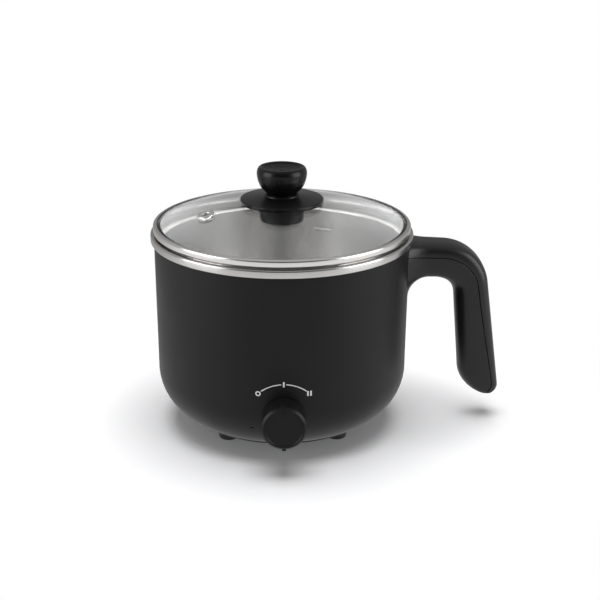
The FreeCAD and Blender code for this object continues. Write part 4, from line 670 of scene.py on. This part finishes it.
def cap_outline():
    """Section of the cap under the glass."""
    return rounded([
        (4.7, 141), (4.7, 136.2), (13.9, 136.2, 1.6), (14.5, 147.1, 0.3), (2.8, 147.53),
        (2.8, 144.1), (4.7, 144.1), (4.7, 141)], steps=7)


def grommet_outline():
    """Section of the steam hole's grommet about its own axis, a flange over and under the
    glass."""
    return rounded([
        (2.5, -2), (2.5, -4.95), (4.8, -4.95), (4.8, -4.15), (3.3, -4.15), (3.3, 0.15),
        (5.6, 0.15), (5.6, 0.95, 0.64), (2.5, 0.95, 0.64), (2.5, -2)], steps=7)


def vent_place(grid):
    """Leans a grid about the steam hole's axis, outwards along its bearing."""
    across, side, up = grid[..., 0], grid[..., 1], grid[..., 2]
    out = across * math.cos(STEAM_TILT) + up * math.sin(STEAM_TILT)
    high = up * math.cos(STEAM_TILT) - across * math.sin(STEAM_TILT)
    cosine, sine = math.cos(STEAM_BEARING), math.sin(STEAM_BEARING)
    return np.stack([STEAM_HOLE[0] + out * cosine - side * sine,
                     STEAM_HOLE[1] + out * sine + side * cosine, STEAM_HOLE[2] + high], -1)


def nearness(x):
    """How near the shell a point of the handle's arm is: 0 where its flare starts, 1 at the
    root."""
    return np.clip((FLARE_START - x) / FLARE_LENGTH, 0.0, 1.0)


def handle_lines():
    """The handle's outer and inner lines in (X, Z), from the shell to the tip, in pairs of
    points that face each other, and how far each pair lies into the tip, from 0 to 1. At the
    root they pair by their distance from the shell, where the inner line is a quarter circle
    and the outer line rises with the square of the nearness. Then come the arm, the bend, the
    grip and the tip, where both end in one point."""
    turn = np.radians(np.linspace(0.0, 90.0, 26))
    arch = np.stack([ROOT + ARCH * (1.0 - np.cos(turn)),
                     ARM_FOOT - ARCH * (1.0 - np.sin(turn))], 1)
    ledge = np.stack([arch[:, 0], ARM_TOP + FLARE_RISE * nearness(arch[:, 0]) ** 2], 1)
    outer = rounded([(arch[-1, 0], ARM_TOP), (97.0, ARM_TOP, 30), (131.8, 122.3, 31),
                     (146.9, 17.3, 6.5), TIP], steps=40)
    inner = rounded([(arch[-1, 0], ARM_FOOT), (112.7, ARM_FOOT, 14), (120.1, 19.2, 20), TIP],
                    steps=40)
    above = [nearest(outer, stop) for stop in (
        (106.4, 123.7), (135.4, 97.3), (144.6, 33.5), TIP)]
    below = [nearest(inner, stop) for stop in (
        (99.8, ARM_FOOT), (113.7, 87.6), (118.5, 36.0), TIP)]
    paces = (8, 1.0), (30, 1.0), (40, 1.0), (TIP_ROWS, TIP_EASE)
    outers, inners = [ledge], [arch]
    for (rows, ease), i, j, k, l in zip(paces, [0] + above, above, [0] + below, below):
        outers.append(paced(outer[i:j + 1], rows, ease)[1:])
        inners.append(paced(inner[k:l + 1], rows, ease)[1:])
    into_tip = 1.0 - (1.0 - np.linspace(0.0, 1.0, TIP_ROWS)[1:]) ** (1.0 / TIP_EASE)
    into = np.concatenate([np.zeros(sum(len(run) for run in outers[:-1])), into_tip])
    return np.concatenate(outers), np.concatenate(inners), into


def nearest(line, point):
    """Place in a line of the point nearest to another."""
    return int(np.argmin(((line - np.asarray(point)) ** 2).sum(1)))


def handle_skin(name, is_cover):
    """One of the handle's two mouldings. A section is a superellipse between the outer and the
    inner line: across is the power 2/n of the cosine and deep the power 2/n of the sine, with n
    for its outer half and another n, lower along the grip, for its inner half. It is parted at
    the joint line, widens towards the shell and narrows over the tip as (1 - t^p)^(1/p). Near
    the root it is drawn onto the round shell, by a share that eases from 1 to 0."""
    outer, inner, into = handle_lines()
    middle, half = (outer + inner) / 2.0, (outer - inner) / 2.0
    depth = np.linalg.norm(half, axis=1)
    room = np.maximum(depth, SEAM_ROOM)
    on_grip = np.clip((inner[:, 0] - GRIP_START) / GRIP_BLEND, 0.0, 1.0)
    width = HALF_WIDTH + FLARE_WIDTH * nearness(outer[:, 0]) ** FLARE_POWER
    width = width * np.maximum(1.0 - into ** TIP_POWER, 0.0) ** (1.0 / TIP_POWER)
    down = np.clip((JOINT_TOP - outer[:, 1]) / JOINT_RUN, 0.0, 1.0)
    thick = JOINT_DEPTH - JOINT_THINNER * down ** JOINT_EASE * on_grip
    part = np.clip(1.0 - thick / np.maximum(depth, JOINT_ROOM), *JOINT_SHARES)
    seam = SEAM_ROUND if is_cover else -SEAM_GAP - SEAM_ROUND
    start = np.arcsin(np.clip(part + seam / room, *SEAM_SHARES) ** (SECTION_POWER / 2.0))
    if is_cover:
        sweep, points, lip = math.pi - 2.0 * start, COVER_POINTS, part
    else:
        sweep, points, lip = -(math.pi + 2.0 * start), GRIP_POINTS, part - SEAM_GAP / room
    angle = start[:, None] + sweep[:, None] * np.linspace(0.0, 1.0, points)
    soft = (SECTION_POWER - GRIP_SOFTER * on_grip)[:, None]
    power = 2.0 / np.where(np.sin(angle) >= 0.0, SECTION_POWER, soft)
    deep = np.sign(np.sin(angle)) * np.abs(np.sin(angle)) ** power
    across = np.sign(np.cos(angle)) * np.abs(np.cos(angle)) ** power
    inset = across[:, :1] - SEAM_ROUND / np.maximum(width, SEAM_ROOM)[:, None]
    deep = np.concatenate([lip[:, None], deep, lip[:, None]], 1)
    across = np.concatenate([inset, across, -inset], 1) * width[:, None]
    x = middle[:, :1] + half[:, :1] * deep
    z = middle[:, 1:] + half[:, 1:] * deep
    wrap = np.clip((x - ROOT) / ROOT_FADE, 0.0, 1.0)
    on_shell = np.sqrt(shell_radius(z) ** 2 - across ** 2) + ROOT_LIFT
    x += (1.0 - wrap) ** 2 * (1.0 + 2.0 * wrap) * (on_shell - ROOT)
    grid = np.stack([x, across, z], -1)
    root = grid[:1].mean(1, keepdims=True).repeat(grid.shape[1], 1)
    return skin(name, np.concatenate([root, grid]).transpose(1, 0, 2), crease=28.0)


def foot_outline():
    """Section of one foot: a soft pad that widens to the base."""
    return rounded([(0, 0), (6.5, 0, 0.8), (7.4, 7.0), (0, 7.0)], steps=6)


class HOTPOT_OT_stage(bpy.types.Operator):
    """Makes the floor, the surroundings, the lamps and the camera"""
    bl_idname = "hotpot.stage"
    bl_label = "Stage"
    bl_options = {"REGISTER", "UNDO"}

    def execute(self, context):
        look = context.scene.hot_pot.stage
        floor = make_floor(tuple(look.floor))
        make_world(context.scene)
        overhead = add_lamp("overhead lamp", (0.0, 0.0, 1.2), (0.0, 0.0, 0.06), (1.1, 0.95),
                            look.overhead)
        overhead.visible_glossy = overhead.visible_transmission = False
        # The side lamps leave the floor out, so that the pot has one soft shadow.
        apart = bpy.data.collections.new("not lit from the sides")
        apart.objects.link(floor)
        apart.collection_objects[0].light_linking.link_state = "EXCLUDE"
        for name, side in (("left lamp", -1.0), ("right lamp", 1.0)):
            lamp = add_lamp(name, (0.95 * side, -0.33, 0.4), (0.0, 0.0, 0.1), (0.7, 0.8),
                            look.sides)
            lamp.light_linking.receiver_collection = apart
        make_camera(context.scene)
        context.scene.view_settings.view_transform = "Standard"
        return {"FINISHED"}


def make_floor(colour):
    """A wide flat floor. Seen by the camera or through glass it glows a little, so that it
    keeps a pale shadow near the pot, and runs out to white. Glossy surfaces show it pale in
    front and grey behind."""
    ends = (-FLOOR_REACH, FLOOR_REACH)
    grid = np.array([[[x, y, 0.0] for y in ends] for x in ends])
    floor = skin("studio_floor", grid, around=False)
    floor.data.flip_normals()
    material, tree, output, place = new_material("studio floor")
    path = add_node(tree, "ShaderNodeLightPath").outputs
    passed = path["Is Transmission Ray"]
    seen = reckon(tree, "MAXIMUM", path["Is Camera Ray"], passed)
    matt = add_node(tree, "ShaderNodeBsdfPrincipled", {
        "Base Color": (*colour, 1.0), "Roughness": 0.9, "Specular IOR Level": 0.0,
        "Emission Color": (0.97, 0.98, 1.0, 1.0),
        "Emission Strength": reckon(tree, "MULTIPLY", seen, 0.1)})
    reach = add_node(tree, "ShaderNodeVectorMath", {0: place}, operation="LENGTH")
    white = reckon(tree, "MULTIPLY", seen, ramp(tree, reach.outputs["Value"], 0.12, 0.26))
    split = add_node(tree, "ShaderNodeSeparateXYZ", {0: place})
    behind = ramp(tree, split.outputs["Y"], -0.1, 0.4, 0.85, 0.42)
    gloss = reckon(tree, "MAXIMUM", reckon(tree, "SUBTRACT", path["Is Glossy Ray"], passed), 0.0)
    glow = add_node(tree, "ShaderNodeEmission", {
        "Color": (1.0, 1.0, 1.0, 1.0), "Strength": mixed_value(tree, gloss, 1.0, behind)})
    both = add_node(tree, "ShaderNodeMixShader", {
        0: reckon(tree, "MAXIMUM", white, gloss), 1: matt.outputs[0], 2: glow.outputs[0]})
    tree.links.new(both.outputs[0], output.inputs["Surface"])
    floor.data.materials.append(material)
    return floor


def make_world(scene):
    """Surroundings: white to the camera and a plain even light on everything. Glossy surfaces
    show them dark in front, dim behind and lighter to the sides and above. Through the glass
    they are dim in the middle, brightest a little to each side, and in between further out."""
    world = bpy.data.worlds.new("studio")
    scene.world = world
    world.use_nodes = True
    tree = world.node_tree
    tree.nodes.clear()
    output = add_node(tree, "ShaderNodeOutputWorld")
    direction = add_node(tree, "ShaderNodeTexCoord").outputs["Generated"]
    split = add_node(tree, "ShaderNodeSeparateXYZ", {0: direction})
    aside = reckon(tree, "ABSOLUTE", split.outputs["X"])
    behind = ramp(tree, split.outputs["Y"], -0.4, 0.6, 0.04, 0.28)
    beside = ramp(tree, aside, 0.3, 0.9, 0.0, 0.16)
    above = ramp(tree, split.outputs["Z"], 0.4, 0.95, 0.0, 0.3)
    gloss = reckon(tree, "ADD", reckon(tree, "ADD", behind, beside), above)
    patch = ramp(tree, aside, 0.06, 0.3, 0.4, 2.5)
    beyond = ramp(tree, aside, 0.34, 0.6, 0.0, 1.1)
    inside = reckon(tree, "SUBTRACT", patch, beyond)
    path = add_node(tree, "ShaderNodeLightPath").outputs
    glossy = mixed_value(tree, path["Is Glossy Ray"], 0.25, gloss)
    glass = mixed_value(tree, path["Is Transmission Ray"], glossy, inside)
    strength = mixed_value(tree, path["Is Camera Ray"], glass, 1.0)
    light = add_node(tree, "ShaderNodeBackground", {
        "Color": (1.0, 1.0, 1.0, 1.0), "Strength": strength})
    tree.links.new(light.outputs[0], output.inputs["Surface"])


def add_lamp(name, place, target, size, power):
    """A soft rectangular lamp at a place, turned to a target."""
    lamp = bpy.data.lights.new(name, "AREA")
    lamp.shape = "RECTANGLE"
    lamp.size, lamp.size_y = size
    lamp.energy = power
    holder = bpy.data.objects.new(name, lamp)
    bpy.context.scene.collection.objects.link(holder)
    away = np.array(place, float) - np.array(target, float)
    away /= np.linalg.norm(away)
    holder.location = place
    holder.rotation_euler = (math.acos(away[2]), 0.0, math.atan2(away[1], away[0]) + math.pi / 2.0)
    return holder


def make_camera(scene):
    """A camera in front, a little above and a little to the left."""
    lens = bpy.data.cameras.new("studio camera")
    lens.lens = 75.0
    lens.sensor_width = 36.0
    lens.shift_x = CAMERA_SHIFT
    camera = bpy.data.objects.new("studio camera", lens)
    scene.collection.objects.link(camera)
    around = math.radians(CAMERA_BEARING)
    camera.location = (CAMERA_REACH * math.sin(around), -CAMERA_REACH * math.cos(around),
                       CAMERA_HEIGHT)
    camera.rotation_euler = (math.radians(90.0 - CAMERA_DIP), 0.0, around)
    scene.camera = camera


class HOTPOT_OT_shell(bpy.types.Operator):
    """Finishes the outer shell, the base and the feet"""
    bl_idname = "hotpot.shell"
    bl_label = "Shell, base and feet"
    bl_options = {"REGISTER", "UNDO"}

    def execute(self, context):
        dress("shell moulding", "outer_shell", "base_cover", "tie_posts")
        dress("gasket silicone", "rim_gasket")
        dress("screw steel", "base_screws")
        for node, x, y in (("foot_rear_right", 1, 1), ("foot_rear_left", -1, 1),
                           ("foot_front_left", -1, -1), ("foot_front_right", 1, -1)):
            place = np.array([x * FOOT_PLACE, y * FOOT_PLACE, 0.0])
            grid = turned(foot_outline(), columns=64) + place
            fit(skin(node + "_pad", grid), "pot", "foot rubber", "rubber_black", node)
        return {"FINISHED"}


class HOTPOT_OT_inner_pot(bpy.types.Operator):
    """Turns the inner pot and prints its level line"""
    bl_idname = "hotpot.inner_pot"
    bl_label = "Inner pot"
    bl_options = {"REGISTER", "UNDO"}

    def execute(self, context):
        pot = skin("pot_liner", turned(pot_outline(), columns=256))
        fit(pot, "pot", "pot steel", "steel", "inner_pot")
        path = np.stack([np.linspace(*LEVEL_ENDS, 13), np.full(13, LEVEL_HEIGHT)], 1)
        line = ribbon(path, LEVEL_STROKE, LEVEL_OVER, False, on_liner_back)
        mark = skin("level_line", line, around=False, along=True)
        fit(mark, "pot", "level print", "steel")
        return {"FINISHED"}


class HOTPOT_OT_lid(bpy.types.Operator):
    """Finishes the glass, turns its band and sets the steam hole's grommet"""
    bl_idname = "hotpot.lid"
    bl_label = "Glass lid"
    bl_options = {"REGISTER", "UNDO"}

    def execute(self, context):
        dress("lid glass", "lid_glass")
        band = skin("lid_rim_band", turned(band_outline(), columns=256))
        fit(band, "lid", "band steel", "band_steel", "lid_band")
        ring = skin("steam_ring", turned(grommet_outline(), columns=72, place=vent_place))
        fit(ring, "lid", "ring steel", "band_steel", "vent_grommet")
        return {"FINISHED"}


class HOTPOT_OT_lid_knob(bpy.types.Operator):
    """Turns the lid's knob, its disc and the cap under the glass"""
    bl_idname = "hotpot.lid_knob"
    bl_label = "Lid knob"
    bl_options = {"REGISTER", "UNDO"}

    def execute(self, context):
        knob = skin("knob_grip", turned(knob_outline(), columns=128))
        fit(knob, "lid", "knob moulding", "knob_black", "lid_knob")
        disc = skin("knob_disc", turned(disc_outline(), columns=160))
        fit(disc, "lid", "knob moulding", "knob_black", "lid_knob_base")
        cap = skin("knob_cap", turned(cap_outline(), columns=96))
        fit(cap, "lid", "cap moulding", "cap_black", "lid_knob_cap")
        dress("gasket silicone", "lid_washer")
        dress("screw steel", "lid_knob_screw")
        return {"FINISHED"}


class HOTPOT_OT_handle(bpy.types.Operator):
    """Shapes the handle's two mouldings"""
    bl_idname = "hotpot.handle"
    bl_label = "Handle"
    bl_options = {"REGISTER", "UNDO"}

    def execute(self, context):
        cover = handle_skin("handle_outer_moulding", is_cover=True)
        fit(cover, "pot", "handle moulding", "handle_black", "handle_cover")
        grip = handle_skin("handle_inner_moulding", is_cover=False)
        fit(grip, "pot", "handle moulding", "handle_black", "handle_grip")
        dress("screw steel", "handle_screws")
        return {"FINISHED"}


class HOTPOT_OT_control(bpy.types.Operator):
    """Finishes the control and prints its scale on the shell"""
    bl_idname = "hotpot.control"
    bl_label = "Control and scale"
    bl_options = {"REGISTER", "UNDO"}

    def execute(self, context):
        look = context.scene.hot_pot.dial
        radius, stroke, tall = look.radius / MM, look.stroke / MM, look.figure / MM
        dress("dial moulding", "control_knob")
        dress("brass", "switch_shaft")
        arcs = [arc((0, 0), radius, start, stop, 40) for start, stop in SCALE_ARCS]
        diagonal = radius * math.sin(math.radians(45.0))
        bars = [np.array([[x, y - tall / 2.0], [x, y], [x, y + tall / 2.0]]) for x, y in (
            (0.0, radius), (diagonal - PAIR_REACH, diagonal), (diagonal + PAIR_REACH, diagonal))]
        strokes = [(line, stroke) for line in arcs] + [(line, stroke * BAR_WEIGHT) for line in bars]
        grids = [ribbon(line, width, SCALE_OVER, False, on_shell_front) for line, width in strokes]
        scale = skin("scale_lines", grids, around=False, along=True)
        fit(scale, "pot", "scale print", "shell_black")
        path = arc((-diagonal, diagonal), tall / 2.0 - stroke * 0.6, 0.0, 348.75, 32)
        ring = ribbon(path, stroke * RING_WEIGHT, SCALE_OVER, True, on_shell_front)
        zero = skin("scale_zero", ring, along=True)
        fit(zero, "pot", "scale print", "shell_black")
        return {"FINISHED"}


class HOTPOT_OT_workings(bpy.types.Operator):
    """Finishes the heater, the thermostat, the switch, the lamp and the inlet"""
    bl_idname = "hotpot.workings"
    bl_label = "Workings and inlet"
    bl_options = {"REGISTER", "UNDO"}

    def execute(self, context):
        dress("plate aluminium", "heating_plate")
        dress("bracket steel", "heating_tube", "thermostat_bracket", "thermostat_cap",
              "fuse_clip", "switch_nut")
        dress("screw steel", "bracket_screws", "inlet_pins")
        dress("brass", "heater_terminals", "switch_tags")
        dress("ceramic", "thermostat_body", "thermal_fuse")
        dress("switch plastic", "rotary_switch", "inlet_housing")
        dress("red lens", "indicator_lens")
        dress("lamp glass", "indicator_lamp")
        return {"FINISHED"}


class HOTPOT_PT_panel(bpy.types.Panel):
    """Lists the pieces and their settings"""
    bl_idname = "HOTPOT_PT_panel"
    bl_label = "Electric Hot Pot"
    bl_space_type = "VIEW_3D"
    bl_region_type = "UI"
    bl_category = "Hot Pot"

    def draw(self, context):
        look = context.scene.hot_pot
        for group in (look.shell, look.handle, look.steel, look.glass, look.dial, look.stage):
            box = self.layout.box()
            for name in group.__annotations__:
                box.prop(group, name)
        for step in STEPS:
            self.layout.operator("hotpot." + step)


STEPS = ("stage", "shell", "inner_pot", "lid", "lid_knob", "handle", "control", "workings")
CLASSES = (
    ShellLook, HandleLook, SteelLook, GlassLook, DialLook, StageLook, HotPotLook,
    HOTPOT_OT_stage, HOTPOT_OT_shell, HOTPOT_OT_inner_pot, HOTPOT_OT_lid, HOTPOT_OT_lid_knob,
    HOTPOT_OT_handle, HOTPOT_OT_control, HOTPOT_OT_workings, HOTPOT_PT_panel)


def register():
    """Registers the classes and the settings."""
    for cls in CLASSES:
        bpy.utils.register_class(cls)
    bpy.types.Scene.hot_pot = bpy.props.PointerProperty(type=HotPotLook)


def unregister():
    """Takes the settings and the classes away again."""
    del bpy.types.Scene.hot_pot
    for cls in reversed(CLASSES):
        bpy.utils.unregister_class(cls)


def main():
    """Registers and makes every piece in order."""
    register()
    for step in STEPS:
        getattr(bpy.ops.hotpot, step)()


if __name__ == "__main__":
    main()
